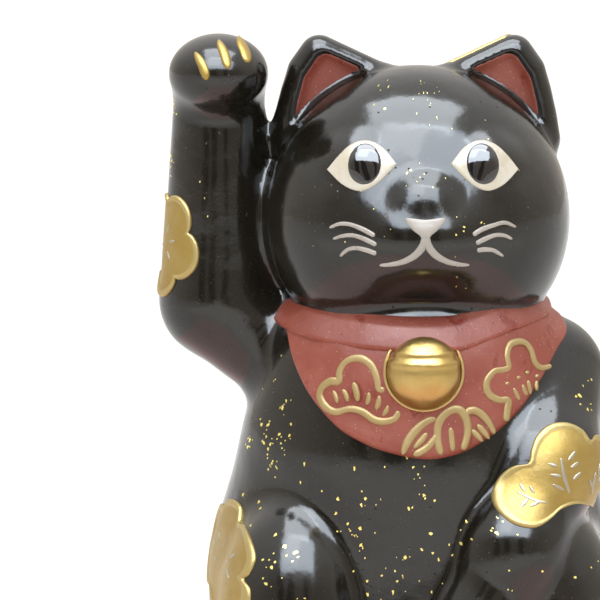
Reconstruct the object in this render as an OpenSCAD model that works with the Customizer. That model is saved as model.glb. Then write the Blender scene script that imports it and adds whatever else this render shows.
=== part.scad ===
// Beckoning cat, a hollow glazed ceramic figure with raised enamel and gilding.
// The front of the cat faces -Y, +Z is up, and the figure stands on z = 0.

/* [Body] */
// Width, depth and height of the sitting haunches
haunches = [88, 96, 100]; // [60:1:130]
// Height of the middle of the haunches
haunch_z = 42; // [34:1:52]
// Width, depth and height of the broad seat under the haunches
seat = [94, 88, 80]; // [60:1:120]
// Width, depth and height of the chest
chest = [93, 80, 84]; // [60:1:120]
// Height of the middle of the chest
chest_z = 84; // [70:1:100]
// Width, depth and height of the shoulders
shoulders = [76, 68, 48]; // [50:1:100]
// Height of the middle of the shoulders
shoulder_z = 112; // [95:1:130]
// Width, depth and height of each rear thigh
thigh = [44, 76, 80]; // [30:1:110]
// Width, depth and height of each bent knee
knee = [40, 50, 66]; // [26:1:80]
// Thickness of the cast wall
wall = 4; // [2.5:0.5:6]

/* [Base] */
// Thickness of the floor
base_t = 5; // [3:0.5:8]
// Diameter of the vent hole in the floor
vent_d = 12; // [6:0.5:18]
// Distance of the vent hole behind the middle of the base
vent_y = 16; // [12:1:24]

/* [Head] */
// Width, depth and height of the skull
skull = [76, 68, 71.4]; // [50:1:100]
// Height of the middle of the head above the shoulders' middle
head_lift = 38.7; // [34:0.1:44]
// Distance of the head's middle in front of the body's axis
head_y = 5; // [0:0.5:8]
// Width, depth and height of each cheek
cheek = [45, 54, 52]; // [30:1:60]
// Width, depth and height of the muzzle
muzzle = [29, 24, 20]; // [18:1:36]
// Diameter of the opening between head and body
neck_d = 30; // [20:1:36]

/* [Ears] */
// Height of an ear above the skull, to the middle of its rounded tip
ear_h = 9.6; // [6:0.2:12]
// Thickness of an ear
ear_t = 10.5; // [8:0.5:13]
// Angle from the crown to the inner end of an ear
ear_inner = 17.5; // [14:0.5:22]
// Angle from the crown to the tip of an ear
ear_tip = 32.5; // [28:0.5:36]
// Angle from the crown to the outer end of an ear
ear_outer = 62.5; // [58:0.5:66]
// Thickness of the hollow in an ear
ear_cup_t = 7; // [5:0.5:8]

/* [Forelegs] */
// Thickness of the raised foreleg at its shoulder
shoulder_d = 25; // [21:1:30]
// Thickness of the raised foreleg at its elbow
elbow_d = 31; // [24:1:34]
// Thickness of the raised foreleg under its paw
wrist_d = 24; // [18:1:27]
// Height from the raised elbow to the wrist
reach = 52; // [42:1:62]
// Width, depth and height of the raised paw
raised_paw = [26, 30, 21]; // [16:1:34]
// Distance of the raised foreleg outside the chest
arm_out = 5.5; // [3:0.5:10]
// Distance of the raised foreleg behind the body's axis
arm_y = 2; // [-4:0.5:6]
// Thickness of the lowered foreleg at its shoulder and elbow
upper_leg_d = 32; // [26:1:36]
// Thickness of the lowered foreleg above its paw
lower_leg_d = 23; // [18:1:27]
// How far the lowered foreleg stands out from the body
leg_relief = 11; // [8:0.5:14]
// Width, depth and height of each paw on the ground
paw = [27, 36, 22]; // [18:1:44]

/* [Tail] */
// Thickness of the tail
tail_d = 17; // [12:1:22]

/* [Bib] */
// Thickness of the bib
bib_t = 1.4; // [0.8:0.2:2.4]
// Height of the bib's lowest point
bib_low = 88.3; // [80:0.1:98]
// Height of the neck band's lower edge in front
collar_front = 115.3; // [112:0.1:118]
// Angle that the bib reaches round the body to each side
bib_reach = 68; // [56:1:74]
// Height of the rolled neck band
collar_h = 9; // [7.5:0.5:11]
// Thickness of the rolled neck band
collar_t = 3.2; // [2:0.2:8]
// Diameter of the bell
bell_d = 19; // [14:0.5:24]
// Height of the middle of the bell
bell_z = 109; // [104:0.5:112]

/* [Face] */
// Width of an eye
eye_w = 17.4; // [14:0.2:20]
// Height of an eye
eye_h = 12.6; // [10:0.2:15]
// Distance of each eye's middle from the middle of the face
eye_x = 15.3; // [13:0.1:17]
// Height of the eyes above the middle of the head
eye_z = 11.7; // [8:0.1:14]
// Diameter of a pupil
pupil_d = 7.8; // [5:0.2:10]
// Width of the nose
nose_w = 10; // [7:0.2:14]
// Depth of the nose below the middle of the head
nose_z = 3.4; // [2:0.2:6]
// Width of a whisker
whisker_w = 1; // [0.6:0.1:1.6]

/* [Enamel and gold] */
// Thickness of the enamel layers
enamel_t = 0.5; // [0.3:0.1:0.8]
// Thickness of the gold layers
gold_t = 0.5; // [0.3:0.1:0.8]
// Width of the gold lines on the bib
gold_line = 1.4; // [0.8:0.1:2]
// Width of the gold strokes that mark the claws
claw_w = 2.2; // [1.4:0.1:3]
// Number of leaf flakes
flake_count = 72; // [20:1:120]

/* [Hidden] */
// Gap that keeps a raised layer clear of the faceted surface under it
layer_gap = 0.05;
BLACK = "#26231f";
RED = "#a8442f";
GOLD = "#cda64e";
WHITE = "#efe8d6";
PUPIL = "#14110f";

// A form is a list of rounded lumps that blend together. A ball is [middle, half sizes, blend]
// and a limb is [start, end, start radius, end radius, blend].
function ball_field(p, c, r) =
    let (q = p - c)
    let (a = [q.x / r.x, q.y / r.y, q.z / r.z])
    let (b = [a.x / r.x, a.y / r.y, a.z / r.z])
    norm(a) * (norm(a) - 1) / max(norm(b), 0.00001);
function limb_field(p, a, b, ra, rb) =
    let (t = max(0, min(1, (p - a) * (b - a) / ((b - a) * (b - a)))))
    norm(p - a - t * (b - a)) - ra - (rb - ra) * t;
function lump_field(p, s) =
    len(s) == 3 ? ball_field(p, s[0], s[1]) : limb_field(p, s[0], s[1], s[2], s[3]);
function melt(a, b, k) =
    let (h = max(k - abs(a - b), 0) / k)
    min(a, b) - h * h * k / 4;
function field(p, form, i = 1, d = undef) =
    let (now = is_undef(d) ? lump_field(p, form[0]) : d)
    i == len(form) ? now
    : field(p, form, i + 1, melt(now, lump_field(p, form[i]), form[i][len(form[i]) - 1]));

// The point between an inside and an outside point where a form's field reaches a level
function cross_at(form, inside, outside, level = 0, steps = 13) =
    let (mid = (inside + outside) / 2)
    steps == 0 ? mid
    : field(mid, form) < level ? cross_at(form, mid, outside, level, steps - 1)
    : cross_at(form, inside, mid, level, steps - 1);

function flip(v) = [-v.x, v.y, v.z];
function unit(v) = v / norm(v);
function around(a) = [sin(a), -cos(a), 0];
function pair(s) = [s, concat([flip(s[0])], [for (i = [1 : len(s) - 1]) s[i]])];

// Body form and the places that other pieces take from it
body_form = concat(
    [[[0, 4, haunch_z], haunches / 2, 1]],
    [[[0, 2, 10], seat / 2, 14]],
    [[[0, -3, chest_z], chest / 2, 14]],
    [[[0, -4, shoulder_z], shoulders / 2, 12]],
    pair([[haunches.x / 2 - 11, 6, haunch_z + 2], thigh / 2, 12]),
    pair([[haunches.x / 2 - 12, -24, haunch_z + 1], knee / 2, 4]));
body_axis = [0, 0, 0];
function axis_at(z) = [body_axis.x, body_axis.y, z];
function body_at(angle, z, level = 0) =
    cross_at(body_form, axis_at(z), axis_at(z) + 90 * around(angle), level);
function front_y(x, z) = cross_at(body_form, [x, 0, z], [x, -90, z]).y;

head_at = [0, -head_y, shoulder_z + head_lift];
head_form = concat(
    [[head_at, skull / 2, 1]],
    pair([head_at + [15, -4, -8], cheek / 2, 10]),
    [[head_at + [0, -28.5, -7], muzzle / 2, 10]]);
function face_at(x, z, level = 0) =
    let (inside = [x, head_at.y, head_at.z + z])
    cross_at(head_form, inside, inside + [0, -80, 0], level);

// Raised foreleg, on the cat's right side
arm_x = -(chest.x / 2 + arm_out);
elbow_z = shoulder_z + 12;
wrist_z = elbow_z + reach;
raised_form = [
    [[arm_x + 14, arm_y - 2, shoulder_z - 2], [arm_x, arm_y, elbow_z], shoulder_d / 2, elbow_d / 2, 0],
    [[arm_x, arm_y, elbow_z], [arm_x, arm_y, wrist_z], elbow_d / 2, wrist_d / 2, 2],
    [[arm_x, arm_y - 7, wrist_z + 8.2], raised_paw / 2, 4]];
function arm_at(angle, z, level = 0) =
    let (inside = [arm_x, arm_y, z])
    cross_at(raised_form, inside, inside + 40 * around(angle), level);

// Lowered foreleg, on the cat's left side
function leg_point(x, z, r) = [x, front_y(x, z) + r - leg_relief, z];
leg_top = [chest.x / 2 - 13.5, -7, shoulder_z - 8];
leg_elbow = leg_top + [-2, -19, -20];
leg_stations = [
    [leg_top, upper_leg_d / 2 + 1],
    [leg_elbow, upper_leg_d / 2 - 1],
    [leg_point(23, 64, upper_leg_d / 2 - 3), upper_leg_d / 2 - 3],
    [leg_point(16, 45, lower_leg_d / 2 + 0.5), lower_leg_d / 2 + 0.5],
    [leg_point(10, 22, lower_leg_d / 2), lower_leg_d / 2]];
leg_paw_at = leg_stations[4][0] + [-1, -3, paw.z / 2 - 23];
lowered_form = concat(
    [for (i = [0 : 3]) let (s = leg_stations[i], t = leg_stations[i + 1])
        [s[0], t[0], s[1], t[1], 6]],
    [[leg_paw_at, paw / 2, 4]]);

hind_paw_x = haunches.x / 2 - 15;
function hind_paw_form(side) = [[[side * hind_paw_x, -46, paw.z / 2 - 1], paw / 2, 1]];

// Tail, curled low round the back from the cat's left to its right, thinner towards the tip
tail_angles = [148, 166, 184, 202, 220];
function tail_r(i) = tail_d / 2 * (1 - 0.09 * i);
function tail_point(i) =
    body_at(tail_angles[i], 13 + 4 * i) + (tail_r(i) - 4.5) * around(tail_angles[i]);
tail_form = [for (i = [0 : 3]) [tail_point(i), tail_point(i + 1), tail_r(i), tail_r(i + 1), 5]];

// Turns a sculpted piece into one plain mesh, at its own size
module one_casting() {
    resize([0, 0, 0]) children();
}

// Triangles of a grid of points, rows by columns, wound clockwise seen from outside
function grid_faces(rows, cols, start = 0, turned = false) = [
    for (i = [0 : rows - 2], j = [0 : cols - 2])
    let (a = start + i * cols + j, b = a + cols)
    each turned ? [[a, b + 1, b], [a, a + 1, b + 1]] : [[a, b, b + 1], [a, b + 1, a + 1]]];

// Closed plate between an inner and an outer layer of points
module plate(inner, outer) {
    rows = len(inner);
    cols = len(inner[0]);
    n = rows * cols;
    rim = concat(
        [for (i = [0 : rows - 2]) i * cols],
        [for (j = [0 : cols - 2]) (rows - 1) * cols + j],
        [for (i = [rows - 1 : -1 : 1]) i * cols + cols - 1],
        [for (j = [cols - 1 : -1 : 1]) j]);
    edge = [for (k = [0 : len(rim) - 1])
        let (p = rim[k], q = rim[(k + 1) % len(rim)])
        each [[n + q, n + p, p], [n + q, p, q]]];
    points = concat([for (row = inner) each row], [for (row = outer) each row]);
    polyhedron(points, concat(grid_faces(rows, cols, 0, true), grid_faces(rows, cols, n), edge));
}

// Closed disc between two layers, each a list of rings that starts with its middle point
module disc(inner, outer) {
    sides = len(inner[1]);
    rings = len(inner) - 1;
    n = 1 + rings * sides;
    function at(i, j) = 1 + i * sides + j % sides;
    fan = [for (j = [0 : sides - 1]) [0, at(0, j), at(0, j + 1)]];
    bands = rings < 2 ? [] : [for (i = [0 : rings - 2], j = [0 : sides - 1])
        each [[at(i, j), at(i + 1, j), at(i + 1, j + 1)], [at(i, j), at(i + 1, j + 1), at(i, j + 1)]]];
    face = concat(fan, bands);
    edge = [for (j = [0 : sides - 1])
        let (p = at(rings - 1, j), q = at(rings - 1, j + 1))
        each [[n + q, n + p, p], [n + q, p, q]]];
    points = concat([inner[0]], [for (i = [1 : rings]) each inner[i]],
        [outer[0]], [for (i = [1 : rings]) each outer[i]]);
    polyhedron(points, concat([for (f = face) [f[2], f[1], f[0]]],
        [for (f = face) [n + f[0], n + f[1], n + f[2]]], edge));
}

// Closed skin of a form, met by rays that turn about a spine and fan out round its two ends
module skin(form, spine, sides, fans, level = 0, far = 90, lean = [0, -1, 0]) {
    last = len(spine) - 1;
    first_way = unit(spine[1] - spine[0]);
    last_way = unit(spine[last] - spine[last - 1]);
    function way(i) = i == 0 ? first_way : i == last ? last_way : unit(spine[i + 1] - spine[i - 1]);
    function side_way(w, a) =
        let (u = unit(lean - (lean * w) * w), v = cross(w, u))
        u * cos(a) + v * sin(a);
    function ring(o, w, tip) = [for (j = [0 : sides - 1])
        let (s = side_way(w, 360 * j / sides), u = s * cos(tip) + w * sin(tip))
        cross_at(form, o, o + far * u, level)];
    rings = concat(
        [for (k = [1 : fans]) ring(spine[0], first_way, -90 + 90 * k / (fans + 1))],
        [for (i = [0 : last]) ring(spine[i], way(i), 0)],
        [for (k = [1 : fans]) ring(spine[last], last_way, 90 * k / (fans + 1))]);
    start = cross_at(form, spine[0], spine[0] - far * first_way, level);
    end = cross_at(form, spine[last], spine[last] + far * last_way, level);
    points = concat([start], [for (r = rings) each r], [end]);
    count = len(rings);
    function at(i, j) = 1 + i * sides + j % sides;
    tip_faces = [for (j = [0 : sides - 1])
        each [[0, at(0, j), at(0, j + 1)], [at(count - 1, j), len(points) - 1, at(count - 1, j + 1)]]];
    band_faces = [for (i = [0 : count - 2], j = [0 : sides - 1])
        each [[at(i, j), at(i + 1, j), at(i + 1, j + 1)], [at(i, j), at(i + 1, j + 1), at(i, j + 1)]]];
    polyhedron(points, concat(tip_faces, band_faces));
}

module above(z) {
    intersection() {
        children();
        translate([-200, -200, z]) cube([400, 400, 400]);
    }
}

// Solid shapes that pieces are cut from and cut by
module body_solid(level = 0, sides = 40, steps = 18) {
    low = haunch_z - haunches.z / 2 + 12;
    high = shoulder_z + shoulders.z / 2 - 12;
    spine = [for (i = [0 : steps]) axis_at(low + (high - low) * i / steps)];
    above(level < 0 ? base_t : 0) skin(body_form, spine, sides, 3, level);
}
module head_solid(level = 0, sides = 40, fans = 9) {
    spine = [head_at - [0, 2, 3], head_at - [0, 2, -3]];
    skin(head_form, spine, sides, fans, level, 80);
}
module raised_solid() {
    lower = [for (i = [0 : 3]) [arm_x + 14 - 4.7 * i, arm_y - 2 + i * 0.6, shoulder_z - 2 + 4.7 * i]];
    upper = [for (i = [0 : 6]) [arm_x, arm_y, elbow_z + 6 + (reach - 6) * i / 6]];
    tip = [[arm_x, arm_y - 3, wrist_z + 4.5], [arm_x, arm_y - 5.5, wrist_z + 7.5]];
    skin(raised_form, concat(lower, upper, tip), 24, 4, 0, 40);
}
module lowered_solid() {
    spine = [for (i = [0 : 4]) leg_stations[i][0]];
    fine = [for (i = [0 : 3], k = [0 : 2]) spine[i] + (spine[i + 1] - spine[i]) * k / 3];
    above(0) skin(lowered_form, concat(fine, [leg_stations[4][0], leg_paw_at]), 20, 4, 0, 40, [1, 0, 0]);
}
module hind_paw_solid(side) {
    at = [side * hind_paw_x, -46, paw.z / 2 - 1];
    above(0) skin(hind_paw_form(side), [at + [0, 2, 0], at - [0, 2, 0]], 20, 5, 0, 40, [1, 0, 0]);
}
module tail_solid() {
    fine = [for (i = [0 : 3], k = [0 : 2]) tail_point(i) + (tail_point(i + 1) - tail_point(i)) * k / 3];
    above(0) skin(tail_form, concat(fine, [tail_point(4)]), 16, 3, 0, 30, [0, 0, 1]);
}
module floor_block(t) {
    outline = [for (j = [0 : 47]) let (p = body_at(-360 * j / 48, base_t)) [p.x, p.y]];
    linear_extrude(t) polygon(outline);
}

// An ear is the rounded web between two roots in the skull and a tip
function skull_point(side, a, out) =
    head_at + [side * (skull.x / 2 + out) * sin(a), 4, (skull.z / 2 + out) * cos(a)];
module ear_web(side, r, inset, forward) {
    tip = ear_h - 0.9 * inset;
    foot = -0.9 * inset;
    spots = [
        [ear_inner + inset, -3],
        [ear_tip, tip],
        [ear_tip + 6.5, tip - 1.9],
        [ear_tip + 13, tip - 5],
        [ear_outer - 8.5, foot + 1.4],
        [ear_outer - inset, foot - 1]];
    hull()
        for (s = spots)
            translate(skull_point(side, s[0], s[1]) + [0, forward, 0]) sphere(r, $fn = 24);
}
module ear_cup(side, spare = 0) {
    ear_web(side, ear_cup_t / 2 - spare, 3.5, -ear_t / 2 - 0.5);
}
module ear(side) {
    color(BLACK) one_casting() difference() {
        ear_web(side, ear_t / 2, 0, 0);
        head_solid();
        ear_cup(side);
    }
}
module ear_lining(side) {
    color(RED) one_casting() difference() {
        intersection() {
            ear_cup(side, layer_gap);
            ear_web(side, ear_t / 2 - 0.3, 0, 0);
        }
        head_solid(0.2);
        ear_cup(side, enamel_t + 0.2);
    }
}

// Body pieces
module torso() {
    color(BLACK) one_casting() difference() {
        above(base_t) body_solid();
        body_solid(-wall, 24, 8);
        head_solid();
    }
}
module base_slab() {
    color("#b9a88f") difference() {
        floor_block(base_t);
        translate([0, vent_y, -1]) cylinder(h = base_t + 2, d = vent_d, $fn = 48);
    }
}
module head() {
    color(BLACK) one_casting() difference() {
        head_solid();
        head_solid(-wall, 24, 5);
        translate([0, 0, head_at.z - skull.z]) cylinder(h = skull.z - 4, d = neck_d, $fn = 32);
    }
}
module raised_foreleg() {
    color(BLACK) one_casting() difference() {
        raised_solid();
        body_solid();
        head_solid();
    }
}
module lowered_foreleg() {
    color(BLACK) one_casting() difference() {
        lowered_solid();
        body_solid();
        floor_block(base_t);
    }
}
module hind_paw(side) {
    color(BLACK) one_casting() difference() {
        hind_paw_solid(side);
        body_solid();
        floor_block(base_t);
        lowered_solid();
    }
}
module tail() {
    color(BLACK) one_casting() difference() {
        tail_solid();
        body_solid();
        floor_block(base_t);
    }
}

// The neck band hangs lower in front than behind, and rises a little over each shoulder
collar_side_rise = 2.5;
collar_back_rise = 6;
function collar_low(a) = collar_front + collar_side_rise * pow(sin(a), 2)
    + collar_back_rise * (1 - cos(a)) / 2;
function collar_z(a) = collar_low(a) + collar_h / 2;
// The bib's lower edge rises to the neck band on each side, and its upper edge tucks under the band
bib_tuck = 1;
function bib_edge(a) = bib_low + (collar_low(a) - 0.5 - bib_low) * pow(abs(a) / bib_reach, 1.85);
function bib_row(level, k) = [for (j = [0 : 32])
    let (a = -bib_reach + 2 * bib_reach * j / 32, low = bib_edge(a))
    body_at(a, low + (collar_low(a) + bib_tuck - low) * k / 6, level)];
module bib_solid() {
    plate([for (k = [0 : 6]) bib_row(layer_gap, k)], [for (k = [0 : 6]) bib_row(bib_t, k)]);
}
module bib() {
    color(RED) one_casting() difference() {
        bib_solid();
        collar_roll();
        head_solid();
        raised_solid();
        lowered_solid();
    }
}
// The neck band's back follows the body and its front is round
function collar_section(a) = [for (j = [0 : 10])
    let (b = -90 + 18 * j, z = collar_z(a) + collar_h / 2 * sin(b))
    body_at(a, z, layer_gap) + around(a) * collar_t * cos(b) * (j == 0 || j == 10 ? 0 : 1)];
module collar_roll() {
    turns = 40;
    sides = 14;
    points = [for (i = [0 : turns - 1]) let (a = 360 * i / turns, front = collar_section(a))
        each concat(front, [for (z = [0.5, 0, -0.5])
            body_at(a, collar_z(a) + collar_h * z * 0.9, layer_gap)])];
    faces = [for (i = [0 : turns - 1], j = [0 : sides - 1])
        let (p = i * sides, q = ((i + 1) % turns) * sides, k = (j + 1) % sides)
        each [[p + j, p + k, q + k], [p + j, q + k, q + j]]];
    polyhedron(points, faces);
}
module bib_collar() {
    color(RED) one_casting() difference() {
        collar_roll();
        head_solid();
        raised_solid();
    }
}
bell_at = body_at(0, bell_z, bib_t) - [0, bell_d / 2 - 6, 0];
module bell() {
    color(GOLD) one_casting() difference() {
        translate(bell_at + [0, 4, 0]) scale([1, 0.8, 1]) sphere(d = bell_d, $fn = 28);
        translate(bell_at + [-bell_d, 4 - 0.4 * bell_d - 1, 2.2]) cube([2 * bell_d, 1.8, 0.8]);
        body_solid(bib_t);
        bib_solid();
        collar_roll();
    }
}

// Raised layers on the face: an outline or a stroke is drawn in x and z, then cast onto the head
function disc_rings(outline, rings) = concat([[[0, 0]]],
    [for (i = [1 : rings]) [for (p = outline) p * i / rings]]);
module face_layer(outline, at, t, rings = 3, under = 0) {
    rows = disc_rings(outline, rings);
    disc([for (r = rows) r == rows[0] ? face_at(at.x, at.y, under + layer_gap)
            : [for (p = r) face_at(at.x + p.x, at.y + p.y, under + layer_gap)]],
        [for (r = rows) r == rows[0] ? face_at(at.x, at.y, under + t)
            : [for (p = r) face_at(at.x + p.x, at.y + p.y, under + t)]]);
}
// A stroke's points across its path, wide in the middle and narrow at its ends
function stroke_rows(path, w, taper) = [for (i = [0 : len(path) - 1])
    let (a = path[max(i - 1, 0)], b = path[min(i + 1, len(path) - 1)])
    let (t = (b - a) / norm(b - a), n = [t.y, -t.x])
    let (s = i / (len(path) - 1), half = w / 2 * (1 - taper * pow(abs(2 * s - 1), 2)))
    [path[i] - n * half, path[i], path[i] + n * half]];
module face_stroke(path, w, taper = 0.5) {
    rows = stroke_rows(path, w, taper);
    plate([for (r = rows) [for (p = r) face_at(p.x, p.y, layer_gap)]],
        [for (r = rows) [for (p = r) face_at(p.x, p.y, enamel_t)]]);
}
// Points on a smooth arc through three points
function arch(a, b, c, n) = [for (i = [0 : n]) let (t = i / n)
    a * (1 - t) * (1 - 2 * t) + b * 4 * t * (1 - t) + c * t * (2 * t - 1)];

// An eye is an almond: round above, with its outer corner drawn out
function almond(w, h) = [for (j = [0 : 27]) let (a = 360 * j / 28)
    [w / 2 * sin(a), h / 2 * cos(a) * (1 - 0.35 * pow(abs(sin(a)), 3))]];
module eye_white(side) {
    color(WHITE) one_casting() face_layer(almond(eye_w, eye_h), [side * eye_x, eye_z], enamel_t);
}
module pupil(side) {
    outline = [for (j = [0 : 19]) pupil_d / 2 * [sin(18 * j), cos(18 * j) * 1.2]];
    color(PUPIL) one_casting()
        face_layer(outline, [side * (eye_x - 0.3), eye_z + 0.3], enamel_t, 2, enamel_t);
}
module nose_and_mouth() {
    nose = [for (j = [0 : 23]) let (a = 15 * j)
        nose_w / 2 * [sin(a), 0.62 * cos(a)] / (1 + 0.32 * cos(3 * a))];
    mouth_z = -nose_z - 4.3;
    color(WHITE) one_casting() union() {
        face_layer(nose, [0, -nose_z], enamel_t, 2);
        face_stroke([[0, -nose_z - 1.2], [0, -nose_z - 3], [0, mouth_z - 0.6]], 1.6, 0.2);
        for (side = [-1, 1])
            face_stroke(arch([0, mouth_z], [side * 4.5, mouth_z - 3.9], [side * 10.5, mouth_z - 5], 8), 1.4);
    }
}
// Each whisker's start, middle and end, below the middle of the head
whisker_arcs = [
    [[12.4, -5.2], [18.6, -2.4], [23.9, -4.2]],
    [[12.5, -7.5], [18.2, -5.4], [22.8, -7.1]],
    [[12.7, -9.5], [16.8, -8.6], [20.8, -11.5]]];
module whiskers(side) {
    color(WHITE) one_casting() union() {
        for (arc = whisker_arcs)
            let (w = [for (p = arc) [side * p.x, p.y]])
            face_stroke(arch(w[0], w[1], w[2], 8), whisker_w);
    }
}

// Raised layers on the limbs: a stroke is drawn in x and z, then cast from in front
module front_stroke(form, y, path, w, taper = 0.5) {
    rows = stroke_rows(path, w, taper);
    function drop(p, level) = cross_at(form, [p.x, y, p.y], [p.x, y - 60, p.y], level);
    plate([for (r = rows) [for (p = r) drop(p, layer_gap)]],
        [for (r = rows) [for (p = r) drop(p, gold_t)]]);
}
module claws(form, at, spread, length, rise = 0, slant = 0.6) {
    for (i = [-1 : 1])
        let (x = at.x + spread * i, z = at.z + rise * i - abs(rise * i) / 2)
        front_stroke(form, at.y, arch([x, z], [x + slant / 2, z - length / 2],
            [x + slant, z - length], 5), claw_w, 0.45);
}
module claws_raised_paw() {
    color(GOLD) one_casting() claws(raised_form, [arm_x - 0.6, arm_y - 5, wrist_z + 15.8], 5.4, 7, 1.6, 2.6);
}
module claws_lowered_paw() {
    color(GOLD) one_casting() claws(lowered_form, leg_paw_at + [0, -8, 6], 5.6, 6);
}
module claws_hind_paws() {
    color(GOLD) one_casting() union() {
        for (side = [-1, 1])
            claws(hind_paw_form(side), [side * (hind_paw_x + 1), -50, paw.z - 5], 5.6, 6);
    }
}

// A scalloped outline: the far edge of a ring of round lobes, seen from the middle
function lobe_far(d, lobe) =
    let (b = d.x * lobe.x + d.y * lobe.y)
    let (s = lobe.z * lobe.z - lobe.x * lobe.x - lobe.y * lobe.y + b * b)
    s < 0 ? 0 : b + sqrt(s);
function scallop(lobes, n) = [for (j = [0 : n - 1])
    let (d = [sin(360 * j / n), cos(360 * j / n)])
    d * max([for (l = lobes) lobe_far(d, l)])];
function plum_lobes(r) = [for (i = [0 : 4]) [r * sin(72 * i), r * cos(72 * i), 0.72 * r]];
function pine_lobes(r) = [
    [0, 0.4 * r, 0.62 * r], [-0.75 * r, 0, 0.5 * r], [0.75 * r, 0, 0.5 * r],
    [-0.35 * r, -0.3 * r, 0.4 * r], [0.35 * r, -0.3 * r, 0.4 * r]];

// A gold patch wraps round the body at an angle and height, or round the raised foreleg
module body_patch(form, lobes, angle, z, radius) {
    rows = disc_rings(scallop(lobes, 36), 4);
    function put(p, level) = let (inside = axis_at(z + p.y))
        cross_at(form, inside, inside + 90 * around(angle + p.x / radius * 57.3), level);
    disc([for (r = rows) r == rows[0] ? put([0, 0], layer_gap) : [for (p = r) put(p, layer_gap)]],
        [for (r = rows) r == rows[0] ? put([0, 0], gold_t) : [for (p = r) put(p, gold_t)]]);
}
module arm_patch(lobes, angle, z) {
    rows = disc_rings(scallop(lobes, 30), 3);
    function put(p, level) = arm_at(angle + p.x / elbow_d * 114.6, z + p.y, level);
    disc([for (r = rows) r == rows[0] ? put([0, 0], layer_gap) : [for (p = r) put(p, layer_gap)]],
        [for (r = rows) r == rows[0] ? put([0, 0], gold_t) : [for (p = r) put(p, gold_t)]]);
}
module gold_patch_foreleg() {
    color(GOLD) one_casting() arm_patch(plum_lobes(8.5), -72, elbow_z + 15.5);
}
both_form = concat(body_form, lowered_form);
module gold_patch_flank() {
    color(GOLD) one_casting() body_patch(both_form, pine_lobes(17.5), 46, 84, 52);
}
module gold_patch_haunch() {
    color(GOLD) one_casting() body_patch(body_form, plum_lobes(11.5), -76, 57, 54);
}
module gold_patch_back() {
    color(GOLD) one_casting() body_patch(body_form, pine_lobes(18), 196, 86, 46);
}
module gold_patch_ear() {
    color(GOLD) one_casting() difference() {
        ear_web(1, ear_t / 2 + gold_t, 0.3, 1.2);
        ear_web(1, ear_t / 2 + layer_gap, 0, 0);
        head_solid(0.2);
        translate(head_at + [-60, -60 - 2, 0]) cube([120, 60 + 2.5, 60]);
    }
}

// Raised gold lines on the bib, drawn as x across and z up, wrapped round the bib
bib_round = 40;
function on_bib(p, level) = body_at(p.x / bib_round * 57.3, p.y, bib_t + level);
module bib_line(path, w = gold_line, taper = 0.35) {
    rows = stroke_rows(path, w, taper);
    plate([for (r = rows) [for (p = r) on_bib(p, layer_gap)]],
        [for (r = rows) [for (p = r) on_bib(p, gold_t)]]);
}
module bib_disc(outline, at, low, high) {
    disc([on_bib(at, low), [for (p = outline) on_bib(at + p, low)]],
        [on_bib(at, high), [for (p = outline) on_bib(at + p, high)]]);
}
module bib_outline(lobes, at) {
    outline = scallop(lobes, 40);
    difference() {
        bib_disc(outline, at, layer_gap, gold_t);
        bib_disc([for (p = outline) p * (1 - gold_line / norm(p))], at, -0.5, gold_t + 0.5);
    }
}
function shift(path, at) = [for (p = path) p + at];
module bib_pine() {
    color(GOLD) one_casting() union() {
        bib_outline(pine_lobes(8.6), [-17.6, 104.5]);
        for (i = [-2 : 2])
            bib_line(shift([[i * 1.4, -2.5], [i * 1.9, 0], [i * 2.3, 2.6]], [-17.6, 104]), 0.9);
    }
}
module bib_plum() {
    color(GOLD) one_casting() union() {
        bib_outline(plum_lobes(5.6), [25.6, 105]);
        for (i = [0 : 4])
            let (d = [sin(72 * i + 36), cos(72 * i + 36)])
            bib_line(shift([d * 1.2, d * 2.4, d * 3.8], [25.6, 105]), 0.8);
    }
}
module bib_bamboo() {
    color(GOLD) one_casting() union() {
        for (i = [-1 : 1])
            let (tip = [4 + 6 * i, 91.5 - abs(i) / 2], top = [7 + 6.5 * i, 99 + i / 2])
            for (side = [-1, 1])
                bib_line(arch(top, (top + tip) / 2 + side * [1.2, -1], tip, 8), gold_line, 0.6);
    }
}

// Leaf flakes lie in clusters, by the angle round the body, the height and how many
flake_clusters = [[-42, 92, 14], [-38, 86, 14], [-20, 66, 12], [-62, 78, 6], [0, 72, 18], [12, 60, 8],
    [-48, 50, 12], [-12, 50, 10], [60, 100, 6], [150, 80, 8], [-150, 70, 8], [120, 60, 6]];
function flake_points(a, z, size, seed) =
    let (r = rands(0.6, 1.25, 6, seed))
    [for (j = [0 : 4]) [a + size * r[j] * sin(72 * j) * 1.2, z + size * r[j] * cos(72 * j)]];
module flake(a, z, size, seed) {
    ring = flake_points(a, z, size, seed);
    function put(p, level) = let (inside = axis_at(p.y))
        cross_at(body_form, inside, inside + 90 * around(p.x), level);
    disc([put([a, z], layer_gap), [for (p = ring) put(p, layer_gap)]],
        [put([a, z], gold_t * 0.6), [for (p = ring) put(p, gold_t * 0.6)]]);
}
module gold_flakes() {
    spread = rands(-1, 1, 4 * flake_count, 11);
    sizes = rands(0.35, 1.15, flake_count, 12);
    color(GOLD) one_casting() union() {
        for (i = [0 : flake_count - 1])
            let (c = flake_clusters[i % len(flake_clusters)])
            flake(c[0] + c[2] * (spread[4 * i] + spread[4 * i + 1]) * 0.7,
                c[1] + c[2] * (spread[4 * i + 2] + spread[4 * i + 3]) * 0.5, sizes[i], 100 + i);
    }
}

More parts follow.
